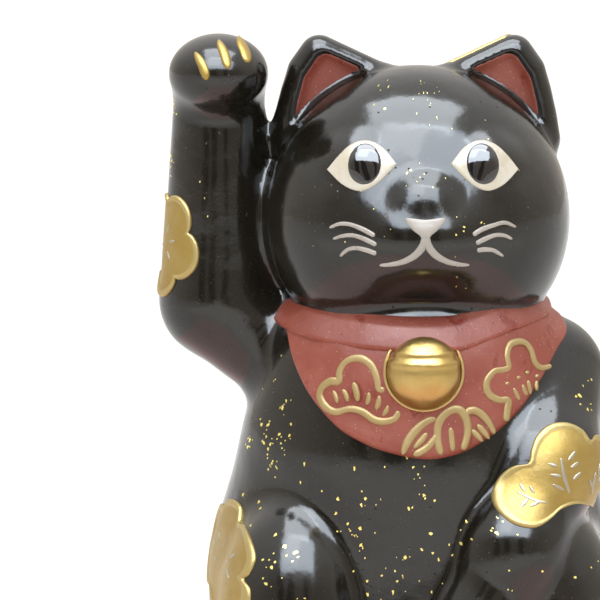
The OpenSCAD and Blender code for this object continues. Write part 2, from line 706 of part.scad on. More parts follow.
torso();
base_slab();
head();
ear(-1);  // ear_right
ear(1);  // ear_left
raised_foreleg();
lowered_foreleg();
hind_paw(-1);  // hind_paw_right
hind_paw(1);  // hind_paw_left
tail();
bib();
bib_collar();
bell();
eye_white(-1);  // eye_white_right
eye_white(1);  // eye_white_left
pupil(-1);  // pupil_right
pupil(1);  // pupil_left
nose_and_mouth();
whiskers(-1);  // whiskers_right
whiskers(1);  // whiskers_left
ear_lining(-1);  // ear_lining_right
ear_lining(1);  // ear_lining_left
claws_raised_paw();
claws_lowered_paw();
claws_hind_paws();
gold_patch_foreleg();
gold_patch_flank();
gold_patch_haunch();
gold_patch_back();
gold_patch_ear();
bib_pine();
bib_bamboo();
bib_plum();
gold_flakes();
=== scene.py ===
"""Beckoning cat: a hollow glazed ceramic figure with raised enamel, gold patches and leaf flakes.

Lengths in this script are millimetres until a mesh is made. The cat looks along -Y.
"""

import math

import bmesh
import bpy
import numpy as np
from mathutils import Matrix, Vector


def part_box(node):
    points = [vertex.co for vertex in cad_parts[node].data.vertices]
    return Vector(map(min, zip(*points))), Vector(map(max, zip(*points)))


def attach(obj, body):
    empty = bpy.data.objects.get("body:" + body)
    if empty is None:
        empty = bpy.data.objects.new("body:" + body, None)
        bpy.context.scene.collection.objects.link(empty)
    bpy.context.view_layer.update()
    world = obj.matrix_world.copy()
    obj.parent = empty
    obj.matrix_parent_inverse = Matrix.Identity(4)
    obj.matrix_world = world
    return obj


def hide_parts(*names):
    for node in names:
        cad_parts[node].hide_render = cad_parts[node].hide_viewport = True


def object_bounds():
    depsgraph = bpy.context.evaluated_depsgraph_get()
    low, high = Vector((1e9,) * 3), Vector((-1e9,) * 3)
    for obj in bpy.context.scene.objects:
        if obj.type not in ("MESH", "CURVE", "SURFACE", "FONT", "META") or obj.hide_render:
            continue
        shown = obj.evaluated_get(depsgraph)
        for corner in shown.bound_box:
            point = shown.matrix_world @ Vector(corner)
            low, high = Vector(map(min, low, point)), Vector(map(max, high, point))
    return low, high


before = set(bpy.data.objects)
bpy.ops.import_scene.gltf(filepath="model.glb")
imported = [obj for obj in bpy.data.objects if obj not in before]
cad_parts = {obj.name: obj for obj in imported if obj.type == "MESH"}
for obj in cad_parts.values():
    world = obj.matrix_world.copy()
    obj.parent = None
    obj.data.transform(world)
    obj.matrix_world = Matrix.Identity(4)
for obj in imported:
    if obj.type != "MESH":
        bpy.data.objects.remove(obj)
cad_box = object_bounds()

MM = 0.001


def node_box(node):
    low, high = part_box(node)
    return np.array(low) / MM, np.array(high) / MM


def vec(x, y, z):
    return np.array([x, y, z], float)


def mirrored(v):
    return v * vec(-1, 1, 1)


# ---------------------------------------------------------------- camera

SCALE_AT_CAT = 0.162  # metres that the view spans at the cat
CAMERA_AWAY = 0.9
CAMERA_TURN = math.radians(-1.2)
CAMERA_RISE = math.radians(7.0)
VIEW_RIGHT = -0.0306  # middle of the view, across and up from the origin
VIEW_UP = 0.12285


def make_camera():
    turn, rise = CAMERA_TURN, CAMERA_RISE
    back = Vector((math.sin(turn) * math.cos(rise), -math.cos(turn) * math.cos(rise), math.sin(rise)))
    right = Vector((math.cos(turn), math.sin(turn), 0))
    up = back.cross(right)
    target = right * VIEW_RIGHT + up * VIEW_UP
    data = bpy.data.cameras.new("camera")
    data.sensor_width = data.sensor_height = 36
    data.lens = 36 * CAMERA_AWAY / SCALE_AT_CAT
    data.clip_start, data.clip_end = 0.01, 20
    camera = bpy.data.objects.new("camera", data)
    camera.location = target + back * CAMERA_AWAY
    camera.rotation_euler = back.to_track_quat("Z", "Y").to_euler()
    bpy.context.collection.objects.link(camera)
    bpy.context.scene.camera = camera


# ---------------------------------------------------------------- the cat's forms

WALL = 4.0
FLOOR_T = node_box("base_slab")[1][2]
VENT_D, VENT_Y = 12.0, 16.0

SKULL = vec(76, 68, 71.4)
HEAD = vec(0, -5, node_box("head")[1][2] - SKULL[2] / 2)
NECK_HEIGHT = HEAD[2] - 38.7

ELBOW_D, WRIST_D, SHOULDER_D = 31.0, 24.0, 25.0
ARM_X, ARM_Y = -52.0, 2.0
ELBOW_Z = NECK_HEIGHT + 12
WRIST_Z = ELBOW_Z + 52
RAISED_PAW = vec(26, 30, 21)
PAW = vec(27, 36, 22)
EAR_T = 10.5
CUP_INSET = CUP_R = 3.5  # the hollow in an ear, in from its outline, and its rounding


def ball(middle, size, blend=1.0):
    return ("ball", np.asarray(middle, float), np.asarray(size, float) / 2, blend)


def limb(start, end, start_r, end_r, blend=1.0):
    return ("limb", np.asarray(start, float), np.asarray(end, float), start_r, end_r, blend)


def flipped(lump):
    if lump[0] == "ball":
        return ("ball", mirrored(lump[1]), lump[2], lump[3])
    return ("limb", mirrored(lump[1]), mirrored(lump[2]), *lump[3:])


def pair(lump):
    return [lump, flipped(lump)]


def lump_field(p, lump):
    if lump[0] == "ball":
        length, slope = 0, 1e-12
        for i in range(3):
            q = (p[..., i] - lump[1][i]) / lump[2][i]
            length = length + q * q
            slope = slope + (q / lump[2][i]) ** 2
        length = np.sqrt(length)
        return length * (length - 1) / np.sqrt(slope)
    start, end, start_r, end_r = lump[1:5]
    way = end - start
    t = np.clip(((p - start) @ way) / (way @ way), 0, 1)
    away = sum((p[..., i] - start[i] - t * way[i]) ** 2 for i in range(3))
    return np.sqrt(away) - start_r - (end_r - start_r) * t


def melt(a, b, blend):
    h = np.maximum(blend - np.abs(a - b), 0) / blend
    return np.minimum(a, b) - h * h * blend / 4


def carve(a, b, blend):
    """Takes b out of a with a rounded edge."""
    return -melt(-a, b, blend)


def form_field(p, form):
    d = lump_field(p, form[0])
    for lump in form[1:]:
        d = melt(d, lump_field(p, lump), lump[-1])
    return d


BODY = [
    ball((0, 4, 42), (88, 96, 100)),
    ball((0, 2, 10), (94, 88, 80), 14),
    ball((0, -3, 84), (93, 80, 84), 14),
    ball((0, -4, NECK_HEIGHT), (76, 68, 48), 12),
    *pair(ball((33, 6, 44), (44, 76, 80), 12)),
    *pair(ball((32, -24, 43), (40, 50, 66), 4)),
]
SKULL_FORM = [
    ball(HEAD, SKULL),
    *pair(ball(HEAD + vec(15, -4, -8), (45, 54, 52), 10)),
    ball(HEAD + vec(0, -28.5, -7), (29, 24, 20), 10),
    *pair(ball(HEAD + vec(15.3, -20, 11.8), (20, 20, 15.5), 3)),
    ball(HEAD + vec(0, -31.5, 3.5), (11, 10, 9), 6),
]
RAISED = [
    limb((ARM_X + 14, ARM_Y - 2, NECK_HEIGHT - 2), (ARM_X, ARM_Y, ELBOW_Z), SHOULDER_D / 2, ELBOW_D / 2),
    limb((ARM_X, ARM_Y, ELBOW_Z), (ARM_X, ARM_Y, WRIST_Z), ELBOW_D / 2, WRIST_D / 2, 2),
    ball((ARM_X, ARM_Y - 7, WRIST_Z + 8.2), RAISED_PAW, 4),
]


def last_inside(form, start, way, reach, count=1):
    """How far a form goes from start along way, by halving, for each of the points in way."""
    inside, outside = np.zeros(count), np.full(count, reach)
    for _ in range(24):
        middle = (inside + outside) / 2
        within = form_field(start + middle[:, None] * way, form) < 0
        inside, outside = np.where(within, middle, inside), np.where(within, outside, middle)
    return inside


LEG_RELIEF = 11.0


def leg_point(x, z, r):
    front = last_inside(BODY, vec(x, 0, z), vec(0, -1, 0), 90.0)[0]
    return vec(x, r - LEG_RELIEF - front, z)


LEG_STATIONS = [
    (vec(33, -7, NECK_HEIGHT - 8), 17.0),
    (vec(31, -26, NECK_HEIGHT - 28), 15.0),
    (leg_point(23, 64, 13), 13.0),
    (leg_point(16, 45, 12), 12.0),
    (leg_point(10, 22, 11.5), 11.5),
]
LEG_PAW = LEG_STATIONS[-1][0] + vec(-1, -3, PAW[2] / 2 - 23)
LOWERED = [limb(a[0], b[0], a[1], b[1], 6) for a, b in zip(LEG_STATIONS, LEG_STATIONS[1:])]
LOWERED.append(ball(LEG_PAW, PAW, 4))
HIND_X = 29.0
HIND = {side: [ball((side * HIND_X, -46, PAW[2] / 2 - 1), PAW)] for side in (-1, 1)}


def around(angle):
    a = np.radians(angle)
    return np.stack([np.sin(a), -np.cos(a), 0 * a], -1)


def tail_form():
    angles = np.array([148.0, 166.0, 184.0, 202.0, 220.0])
    points, radii = [], []
    for i, angle in enumerate(angles):
        z, r = 13 + 4 * i, 8.5 * (1 - 0.09 * i)
        reach = last_inside(BODY, vec(0, 0, z), around(angle), 90.0)[0]
        points.append(vec(0, 0, z) + (reach + r - 4.5) * around(angle))
        radii.append(r)
    return [limb(points[i], points[i + 1], radii[i], radii[i + 1], 5) for i in range(4)]


TAIL = tail_form()


def skull_point(side, angle, out):
    a = math.radians(angle)
    half = SKULL / 2
    return HEAD + vec(side * (half[0] + out) * math.sin(a), 4, (half[2] + out) * math.cos(a))


def slab_field(p, corners, r):
    """Rounded flat web between corners that share one depth."""
    y = corners[0][1]
    c = np.array([[q[0], q[2]] for q in corners])
    flat = p[..., [0, 2]]
    away = np.full(flat.shape[:-1], 1e9)
    middle = c.mean(0)
    outside = np.full(flat.shape[:-1], -1e9)
    for a, b in zip(c, np.roll(c, -1, 0)):
        edge = b - a
        t = np.clip(((flat - a) @ edge) / (edge @ edge), 0, 1)
        away = np.minimum(away, np.linalg.norm(flat - a - t[..., None] * edge, axis=-1))
        normal = np.array([edge[1], -edge[0]])
        normal = normal * np.sign(normal @ (a - middle))
        outside = np.maximum(outside, (flat - a) @ normal)
    flat_d = np.where(outside > 0, away, 0.0)
    return np.sqrt(flat_d ** 2 + (p[..., 1] - y) ** 2) - r


def ear_corners(side, inset, forward):
    tip = 9.6 - 0.9 * inset
    foot = -0.9 * inset
    spots = [(17.5 + inset, -3), (32.5, tip), (39, tip - 1.9), (45.5, tip - 5),
             (54, foot + 1.4), (62.5 - inset, foot - 1)]
    return [skull_point(side, a, out) + vec(0, forward, 0) for a, out in spots]


def ear_field(p, side):
    web = slab_field(p, ear_corners(side, 0, 0), EAR_T / 2)
    cup = slab_field(p, ear_corners(side, CUP_INSET, -EAR_T / 2 - 0.5), CUP_R)
    return carve(web, cup, 1.5)


PIECE_FIELDS = {
    "torso": lambda p: form_field(p, BODY),
    "head": lambda p: form_field(p, SKULL_FORM),
    "ear_right": lambda p: ear_field(p, -1),
    "ear_left": lambda p: ear_field(p, 1),
    "raised_foreleg": lambda p: form_field(p, RAISED),
    "lowered_foreleg": lambda p: form_field(p, LOWERED),
    "hind_paw_right": lambda p: form_field(p, HIND[-1]),
    "hind_paw_left": lambda p: form_field(p, HIND[1]),
    "tail": lambda p: form_field(p, TAIL),
}
PIECES = list(PIECE_FIELDS)
# How softly the glaze fills the crease where each piece joins the ones before it
JOIN_BLEND = [0, 4, 3, 3, 5, 3, 2.5, 2.5, 3]


def near_box(p, node, spare=9.0):
    low, high = node_box(node)
    return ((p > low - spare) & (p < high + spare)).all(-1)


def all_fields(p):
    """Each piece's own field; far from the small pieces theirs isn't worked out."""
    fields = []
    for name in PIECES:
        if name in ("torso", "head"):
            fields.append(PIECE_FIELDS[name](p))
            continue
        d = np.full(p.shape[:-1], 30.0)
        close = near_box(p, name)
        if close.any():
            d[close] = PIECE_FIELDS[name](p[close])
        fields.append(d)
    return fields


def cat_field(p):
    fields = all_fields(p)
    d = fields[0]
    for i in range(1, len(fields)):
        d = melt(d, fields[i], JOIN_BLEND[i])
    return np.maximum(d, -p[..., 2])


def gradient(field, p, step=0.05):
    corners = np.array([[1, -1, -1], [-1, 1, -1], [-1, -1, 1], [1, 1, 1]], float)
    return sum(field(p + c * step)[:, None] * c for c in corners) / (4 * step)


def unit(v):
    return v / np.maximum(np.linalg.norm(v, axis=-1, keepdims=True), 1e-9)


# ---------------------------------------------------------------- meshing

def net_surface(field, low, high, cell):
    """Quads over a field's zero surface, one point in each cell that it crosses."""
    count = np.ceil((high - low) / cell).astype(int) + 1
    axes = [low[i] + cell * np.arange(count[i]) for i in range(3)]
    coarse = np.stack(np.meshgrid(*[a[::4] for a in axes], indexing="ij"), -1)
    rough = field(coarse.reshape(-1, 3)).reshape(coarse.shape[:3])
    values = rough
    for i in range(3):
        values = np.repeat(values, 4, axis=i)
    values = values[:count[0], :count[1], :count[2]].astype(np.float32)
    fine = np.argwhere(np.abs(values) < 9 * cell)
    at = tuple(fine.T)
    values[at] = field(low + cell * fine)
    inside = values < 0
    shape = tuple(count - 1)
    total = np.zeros(shape + (3,), np.float32)
    hits = np.zeros(shape, np.int16)
    corner = [slice(0, -1), slice(1, None)]
    for axis in range(3):
        other = [a for a in range(3) if a != axis]
        for u in (0, 1):
            for v in (0, 1):
                first, second = [None] * 3, [None] * 3
                first[axis], second[axis] = corner[0], corner[1]
                first[other[0]] = second[other[0]] = corner[u]
                first[other[1]] = second[other[1]] = corner[v]
                a, b = values[tuple(first)], values[tuple(second)]
                cut = inside[tuple(first)] != inside[tuple(second)]
                t = np.where(cut, a / np.where(cut, a - b, 1), 0)
                offset = np.zeros(shape + (3,), np.float32)
                offset[..., axis] = t
                offset[..., other[0]] = u
                offset[..., other[1]] = v
                total += offset * cut[..., None]
                hits += cut
    cells = np.argwhere(hits > 0)
    index = np.full(shape, -1, np.int64)
    index[tuple(cells.T)] = np.arange(len(cells))
    at = tuple(cells.T)
    points = low + cell * (cells + total[at] / hits[at][:, None])
    quads = []
    for axis in range(3):
        b, c = (axis + 1) % 3, (axis + 2) % 3
        first, second = [slice(None)] * 3, [slice(None)] * 3
        first[axis], second[axis] = slice(0, -1), slice(1, None)
        cut = inside[tuple(first)] != inside[tuple(second)]
        spots = np.argwhere(cut)
        keep = (spots[:, b] > 0) & (spots[:, c] > 0)
        spots = spots[keep]
        outward = inside[tuple(first)][tuple(spots.T)]
        ring = []
        for db, dc in ((1, 1), (0, 1), (0, 0), (1, 0)):
            q = spots.copy()
            q[:, b] -= db
            q[:, c] -= dc
            ring.append(index[tuple(q.T)])
        ring = np.stack(ring, 1)
        ring[~outward] = ring[~outward][:, ::-1]
        quads.append(ring)
    return points, np.concatenate(quads)


def onto_surface(field, p, rounds=3):
    for _ in range(rounds):
        g = gradient(field, p)
        d = field(p)
        p = p - (d / np.maximum((g * g).sum(-1), 0.05))[:, None] * g
    return p


def mesh_object(name, points, faces, normals=None, smooth=True):
    """An object from millimetre points; faces is a list or an array of corner indices."""
    mesh = bpy.data.meshes.new(name)
    faces = faces.tolist() if isinstance(faces, np.ndarray) else faces
    mesh.from_pydata((np.asarray(points) * MM).tolist(), [], faces)
    if smooth:
        mesh.polygons.foreach_set("use_smooth", [True] * len(mesh.polygons))
    if normals is not None:
        mesh.normals_split_custom_set(normals.tolist())
    mesh.update()
    piece = bpy.data.objects.new(name, mesh)
    bpy.context.collection.objects.link(piece)
    return piece


def boundary_edges(faces):
    edges = np.concatenate([np.stack([faces[:, i], faces[:, (i + 1) % 4]], 1) for i in range(4)])
    key = np.sort(edges, 1)
    code = key[:, 0] * (key.max() + 1) + key[:, 1]
    _, where, count = np.unique(code, return_index=True, return_counts=True)
    return edges[where[count == 1]]


def cast_shell(name, points, normals, faces, wall):
    """A closed casting: its glazed skin, the same skin set in by the wall, and the rim between."""
    used, local = np.unique(faces, return_inverse=True)
    faces = local.reshape(faces.shape)
    skin, skin_n = points[used], normals[used]
    n = len(used)
    lining = skin - skin_n * wall
    rim = boundary_edges(faces)
    rim_faces = np.stack([rim[:, 1], rim[:, 0], rim[:, 0] + n, rim[:, 1] + n], 1)
    every = np.concatenate([faces, faces[:, ::-1] + n, rim_faces])
    all_points = np.concatenate([skin, lining])
    loop_n = np.concatenate([skin_n[faces].reshape(-1, 3), -skin_n[faces[:, ::-1]].reshape(-1, 3)])
    if len(rim_faces):
        q = all_points[rim_faces]
        flat = unit(np.cross(q[:, 2] - q[:, 0], q[:, 3] - q[:, 1]))
        loop_n = np.concatenate([loop_n, np.repeat(flat, 4, 0)])
    return mesh_object(name, all_points, every, loop_n)


def face_labels(points, faces):
    middles = points[faces].mean(1)
    labels = np.argmin(np.stack(all_fields(middles)), 0)
    for _ in range(3):
        votes = np.zeros((len(points), len(PIECES) + 1))
        for i in range(4):
            np.add.at(votes, (faces[:, i], labels), 1)
        labels = votes[faces].sum(1)[:, :len(PIECES)].argmax(1)
    foot = (labels == 0) & (middles[:, 2] < FLOOR_T)
    labels[foot] = len(PIECES)
    return labels


def settle_seams(points, faces, labels):
    """Moves the points on each seam to where the two pieces' forms meet."""
    lowest = np.full(len(points), 99)
    highest = np.full(len(points), -1)
    for i in range(4):
        np.minimum.at(lowest, faces[:, i], labels)
        np.maximum.at(highest, faces[:, i], labels)
    seam = np.where(lowest != highest)[0]
    for a in range(len(PIECES)):
        for b in range(a + 1, len(PIECES) + 1):
            spots = seam[(lowest[seam] == a) & (highest[seam] == b)]
            if len(spots) == 0:
                continue
            if b == len(PIECES):
                def split(p):
                    return p[..., 2] - FLOOR_T
            else:
                def split(p):
                    return PIECE_FIELDS[PIECES[a]](p) - PIECE_FIELDS[PIECES[b]](p)
            p = points[spots]
            for _ in range(3):
                across = gradient(split, p)
                normal = unit(gradient(cat_field, p))
                across -= (across * normal).sum(-1, keepdims=True) * normal
                move = (split(p) / np.maximum((across * across).sum(-1), 0.2))[:, None] * across
                length = np.linalg.norm(move, axis=-1, keepdims=True)
                p = p - move * np.minimum(1, 0.45 / np.maximum(length, 1e-9))
                p = onto_surface(cat_field, p, 1)
            points[spots] = p
    return points


CELL = 1.0


def make_castings():
    low, high = np.array(cad_box[0]) / MM - 3, np.array(cad_box[1]) / MM + 3
    low[2] = -2.5
    points, faces = net_surface(cat_field, low, high, CELL)
    points = onto_surface(cat_field, points)
    labels = face_labels(points, faces)
    points = settle_seams(points, faces, labels)
    normals = unit(gradient(cat_field, points))
    pieces = {}
    for i, name in enumerate(PIECES):
        own = faces[labels == i]
        wall = 2.0 if name.startswith(("ear", "tail", "hind")) else WALL * 0.75
        pieces[name] = cast_shell(name + "_cast", points, normals, own, wall)
    return pieces


def make_floor():
    """The bare clay floor with its vent, its edges eased."""
    sides = 180
    angles = np.arange(sides) * 360 / sides
    middle = vec(0, VENT_Y, FLOOR_T)
    ease = drop = 0.8
    edge = last_inside(BODY, middle, around(angles), 90.0, sides)
    rows = []
    for radius, z in ((VENT_D / 2, FLOOR_T - drop / 2), (VENT_D / 2 + ease / 2, FLOOR_T), (edge - 0.1, FLOOR_T),
                      (edge, FLOOR_T - 0.2), (edge, drop), (edge - ease * 0.3, drop * 0.3),
                      (edge - ease, 0.0), (VENT_D / 2 + ease, 0.0), (VENT_D / 2, drop)):
        spot = middle + np.asarray(radius)[..., None] * around(angles)
        spot[:, 2] = z
        rows.append(spot)
    faces = [face[::-1] for face in band_faces(len(rows), sides, True)]
    return mesh_object("base_slab_cast", np.concatenate(rows), faces)


# ---------------------------------------------------------------- raised layers

def land(field, inside, outside, rounds=26):
    """Where the line between an inside and an outside point meets a form's surface."""
    inside, outside = np.array(inside, float), np.array(outside, float)
    for _ in range(rounds):
        mid = (inside + outside) / 2
        within = (field(mid) < 0)[:, None]
        inside = np.where(within, mid, inside)
        outside = np.where(within, outside, mid)
    return (inside + outside) / 2


def body_only(p):
    return form_field(p, BODY)


def lifted(field, start, end, height):
    spot = land(field, start, end)
    return spot + unit(gradient(field, spot)) * np.reshape(height, (-1, 1))


def from_front(field, depth):
    """Drawing on a form from in front: x across and z up."""
    def place(flat, height):
        start = np.stack([flat[:, 0], np.full(len(flat), depth), flat[:, 1]], -1)
        return lifted(field, start, start + vec(0, -90, 0), height)
    return place


def from_round(field, x, y, reach=90):
    """Drawing round an upright axis: degrees round it and z up."""
    def place(flat, height):
        start = np.stack([np.full(len(flat), x), np.full(len(flat), y), flat[:, 1]], -1)
        return lifted(field, start, start + reach * around(flat[:, 0]), height)
    return place


SINK = 0.25  # how deep a raised layer's hidden side lies under the surface
HANDS = ((-1, "right"), (1, "left"))


def band_faces(rows, cols, closed_rows=False):
    """Quads of a grid that closes on itself along each row, and across the rows if asked."""
    return [(i * cols + j, i * cols + (j + 1) % cols,
             (i + 1) % rows * cols + (j + 1) % cols, (i + 1) % rows * cols + j)
            for i in range(rows if closed_rows else rows - 1) for j in range(cols)]


def sheet_mesh(rows, cols, closed):
    """Faces of a top and a bottom grid, rows by columns, and the wall between them."""
    n = rows * cols
    faces = []
    last = cols if closed else cols - 1
    for i in range(rows - 1):
        for j in range(last):
            a, b = i * cols + j, i * cols + (j + 1) % cols
            c, d = a + cols, b + cols
            faces.append((a, b, d, c))
            faces.append((n + a, n + c, n + d, n + b))
    for j in range(last):
        a, b = j, (j + 1) % cols
        faces.append((b, a, n + a, n + b))
        a, b = (rows - 1) * cols + j, (rows - 1) * cols + (j + 1) % cols
        faces.append((a, b, n + b, n + a))
    if not closed:
        for i in range(rows - 1):
            a, b = i * cols, (i + 1) * cols
            faces.append((a, b, n + b, n + a))
            a, b = i * cols + cols - 1, (i + 1) * cols + cols - 1
            faces.append((b, a, n + a, n + b))
    return faces


def smooth_path(points, count, closed=False):
    """A curve through the points, eased so that its ends are well sampled."""
    p = np.asarray(points, float)
    if closed:
        p = np.concatenate([p[-1:], p, p[:2]])
    else:
        p = np.concatenate([2 * p[:1] - p[1:2], p, 2 * p[-1:] - p[-2:-1]])
    spans = len(p) - 3
    s = np.linspace(0, spans, count, endpoint=not closed)
    i = np.minimum(s.astype(int), spans - 1)
    t = (s - i)[:, None]
    a, b, c, d = p[i], p[i + 1], p[i + 2], p[i + 3]
    return 0.5 * (2 * b + (c - a) * t + (2 * a - 5 * b + 4 * c - d) * t ** 2
                  + (3 * b - a - 3 * c + d) * t ** 3)


class Layer:
    """Gathers strokes, pads and chips that lie on a surface into one object.

    Each point has a mark: 0 on the plain layer, 1 on a raised rim, 2 on an engraved stroke."""

    def __init__(self, name, place):
        self.name, self.place = name, place
        self.points, self.faces, self.marks, self.count = [], [], [], 0

    def add(self, points, faces, marks=0.0):
        self.points.append(points)
        self.marks.append(np.broadcast_to(np.asarray(marks, float), len(points)))
        self.faces += [tuple(int(v) + self.count for v in f) for f in faces]
        self.count += len(points)

    def stroke(self, path, width, height, lead=1.0, tail=1.0, base=0.0, stretch=1.0, mark=0.0,
               across=7, density=3.0):
        """A brush line. lead and tail are how blunt its ends are, 0 pointed to 1 round.

        stretch is the millimetres in one unit across, where that unit is a degree."""
        length = np.linalg.norm(np.diff(path, axis=0) * (stretch, 1), axis=1).sum()
        along = max(12, int(length * density) + 8)
        fine = smooth_path(path, 400)
        step = np.linalg.norm(np.diff(fine, axis=0) * (stretch, 1), axis=1)
        dist = np.concatenate([[0], np.cumsum(step)])
        s = (1 - np.cos(np.linspace(0, math.pi, along))) / 2
        s = 0.5 * s + 0.5 * np.linspace(0, 1, along)
        at = s * dist[-1]
        mid = np.stack([np.interp(at, dist, fine[:, k]) for k in (0, 1)], -1)
        way = np.gradient(mid, axis=0) * (stretch, 1)
        way /= np.linalg.norm(way, axis=1, keepdims=True)
        side = np.stack([way[:, 1], -way[:, 0]], -1) / (stretch, 1)
        widths = np.interp(s, np.linspace(0, 1, len(np.atleast_1d(width))), np.atleast_1d(width))
        half = widths / 2
        for end, distance in ((lead, at), (tail, dist[-1] - at)):
            reach = np.maximum(half * (3 - 2 * end), 1e-6)
            half = half * np.sqrt(np.clip(1 - np.clip(1 - distance / reach, 0, 1) ** 2, 0.0004, 1))
        u = np.linspace(-1, 1, across)
        flat = mid[:, None] + side[:, None] * (half[:, None] * u)[..., None]
        crown = np.sqrt(np.clip(1 - u ** 2, 0, 1)) * height
        lift = base + crown[None] * np.clip(half / (widths / 2), 0, 1)[:, None] ** 0.5
        flat = flat.reshape(-1, 2)
        top = self.place(flat, lift.reshape(-1))
        bottom = self.place(flat, base - SINK)
        self.add(np.concatenate([top, bottom]), sheet_mesh(along, across, False), mark)

    def pad(self, outline, rings, heights, middle=None, marks=None, base=0.0):
        """A plate inside an outline. rings are shares of the way out; heights go with them."""
        outline = np.asarray(outline, float)
        middle = outline.mean(0) if middle is None else np.asarray(middle, float)
        flat = np.concatenate([middle + (outline - middle) * r for r in rings])
        n = len(outline)
        lift = base + np.repeat(heights, n)
        top = self.place(flat, lift)
        bottom = self.place(flat, base - SINK)
        points = np.concatenate([top, bottom])
        faces = []
        total = len(flat)
        for i in range(len(rings) - 1):
            for j in range(n):
                a, b = i * n + j, i * n + (j + 1) % n
                c, d = a + n, b + n
                faces.append((a, c, d, b))
                faces.append((total + a, total + b, total + d, total + c))
        last = (len(rings) - 1) * n
        for j in range(n):
            a, b = last + j, last + (j + 1) % n
            faces.append((b, a, total + a, total + b))
        faces.append(tuple(range(n - 1, -1, -1)))
        faces.append(tuple(total + k for k in range(n)))
        shade = np.zeros(len(rings)) if marks is None else np.asarray(marks, float)
        self.add(points, faces, np.tile(np.repeat(shade, n), 2))

    def build(self):
        piece = mesh_object(self.name, np.concatenate(self.points), self.faces)
        mark = piece.data.attributes.new("mark", "FLOAT", "POINT")
        mark.data.foreach_set("value", np.concatenate(self.marks).astype(np.float32))
        fix_winding(piece)
        return piece


def fix_winding(piece):
    bm = bmesh.new()
    bm.from_mesh(piece.data)
    bmesh.ops.recalc_face_normals(bm, faces=bm.faces)
    bm.to_mesh(piece.data)
    bm.free()
    piece.data.update()


# ---------------------------------------------------------------- the face

def head_only(p):
    return form_field(p, SKULL_FORM)


on_face = from_front(head_only, HEAD[1])
# The right-hand outline of one eye, across from the middle of the face and up from the head's middle
EYE_ABOVE = [(24.4, 10.5), (21.4, 14.2), (18.2, 17.0), (14.4, 18.0), (10.4, 16.4), (6.8, 12.3)]
EYE_BELOW = [(6.8, 12.3), (9.6, 9.4), (13.0, 6.6), (16.6, 5.5), (20.6, 7.0), (24.4, 10.5)]
PUPIL_AT = (14.9, 12.0)
PUPIL_HALF = (4.05, 5.0)


def eye_outline(side):
    above, below = smooth_path(EYE_ABOVE, 48), smooth_path(EYE_BELOW, 48)
    return np.concatenate([above[:-1], below[:-1]]) * (side, 1) + (0, HEAD[2])


def make_eyes():
    pieces = []
    for side, hand in HANDS:
        white = Layer("eye_white_%s_enamel" % hand, on_face)
        outline = eye_outline(side)
        white.pad(outline, [0.03, 0.3, 0.55, 0.75, 0.88, 0.95, 0.985, 1.0],
                  [0.62, 0.62, 0.6, 0.56, 0.5, 0.42, 0.28, 0.0],
                  middle=(side * PUPIL_AT[0], HEAD[2] + PUPIL_AT[1]), marks=[0, 0, 0, 0, 0, 0.3, 1, 1])
        pupil = Layer("pupil_%s_dome" % hand, on_face)
        lean = math.radians(8 * side)
        angles = np.linspace(0, 2 * math.pi, 64, endpoint=False)
        ring = np.stack([PUPIL_HALF[0] * np.sin(angles), PUPIL_HALF[1] * np.cos(angles)], -1)
        turn = np.array([[math.cos(lean), math.sin(lean)], [-math.sin(lean), math.cos(lean)]])
        ring = ring @ turn + (side * PUPIL_AT[0], HEAD[2] + PUPIL_AT[1])
        shares = np.array([0.02, 0.2, 0.4, 0.6, 0.75, 0.87, 0.94, 0.98, 1.0])
        pupil.pad(ring, shares, 0.55 + 0.75 * np.sqrt(1 - 0.999 * shares ** 2), base=0.02)
        pieces += [white.build(), pupil.build()]
    return pieces


def make_nose_and_mouth():
    layer = Layer("nose_and_mouth_enamel", on_face)
    up = HEAD[2]
    nose = [(-6.3, -1.0), (-5.6, -0.7), (-2.5, -1.0), (-1.2, -1.1), (0.2, -1.0), (3.0, -0.7), (3.9, -1.0),
            (3.2, -2.2), (1.6, -3.9), (0.2, -5.0), (-0.3, -5.8), (-1.2, -6.3), (-2.2, -5.8), (-2.7, -5.0),
            (-4.4, -3.7), (-5.8, -2.1)]
    outline = smooth_path(nose, 110, closed=True) + (1.2, up)
    layer.pad(outline, [0.03, 0.4, 0.7, 0.88, 0.96, 1.0], [0.55, 0.55, 0.52, 0.42, 0.28, 0.0],
              middle=(0, up - 2.6))
    for side in (-1, 1):
        path = np.array([(0.1, -5.2), (0.7, -7.6), (2.6, -10.0), (5.6, -11.8), (9.0, -12.7), (11.4, -12.9)])
        layer.stroke(path * (side, 1) + (0, up), [1.9, 2.0, 1.8, 1.5, 1.2, 0.7], 0.42, tail=0.0)
    return layer.build()


WHISKERS = {
    -1: [[(12.6, -5.4), (15.4, -4.0), (18.6, -2.9), (21.4, -2.9), (23.9, -4.0)],
         [(12.2, -7.7), (15.0, -6.4), (18.0, -5.6), (20.6, -5.9), (23.0, -6.8)],
         [(12.2, -10.0), (14.6, -9.2), (17.2, -8.8), (19.4, -9.4), (21.2, -11.2)]],
    1: [[(12.1, -5.2), (14.6, -3.9), (17.6, -3.1), (20.6, -2.6), (23.6, -3.9)],
        [(12.9, -7.4), (15.6, -6.3), (18.2, -5.6), (20.6, -5.9), (22.6, -6.9)],
        [(13.2, -9.2), (15.4, -9.1), (17.6, -9.5), (20.3, -11.2)]],
}


def make_whiskers():
    pieces = []
    for side, hand in HANDS:
        layer = Layer("whiskers_%s_enamel" % hand, on_face)
        for path in WHISKERS[side]:
            layer.stroke(np.array(path) * (side, 1) + (0, HEAD[2]), [1.2, 1.3, 1.1, 1.0, 0.7], 0.34, tail=0.4)
        pieces.append(layer.build())
    return pieces


# ---------------------------------------------------------------- ears

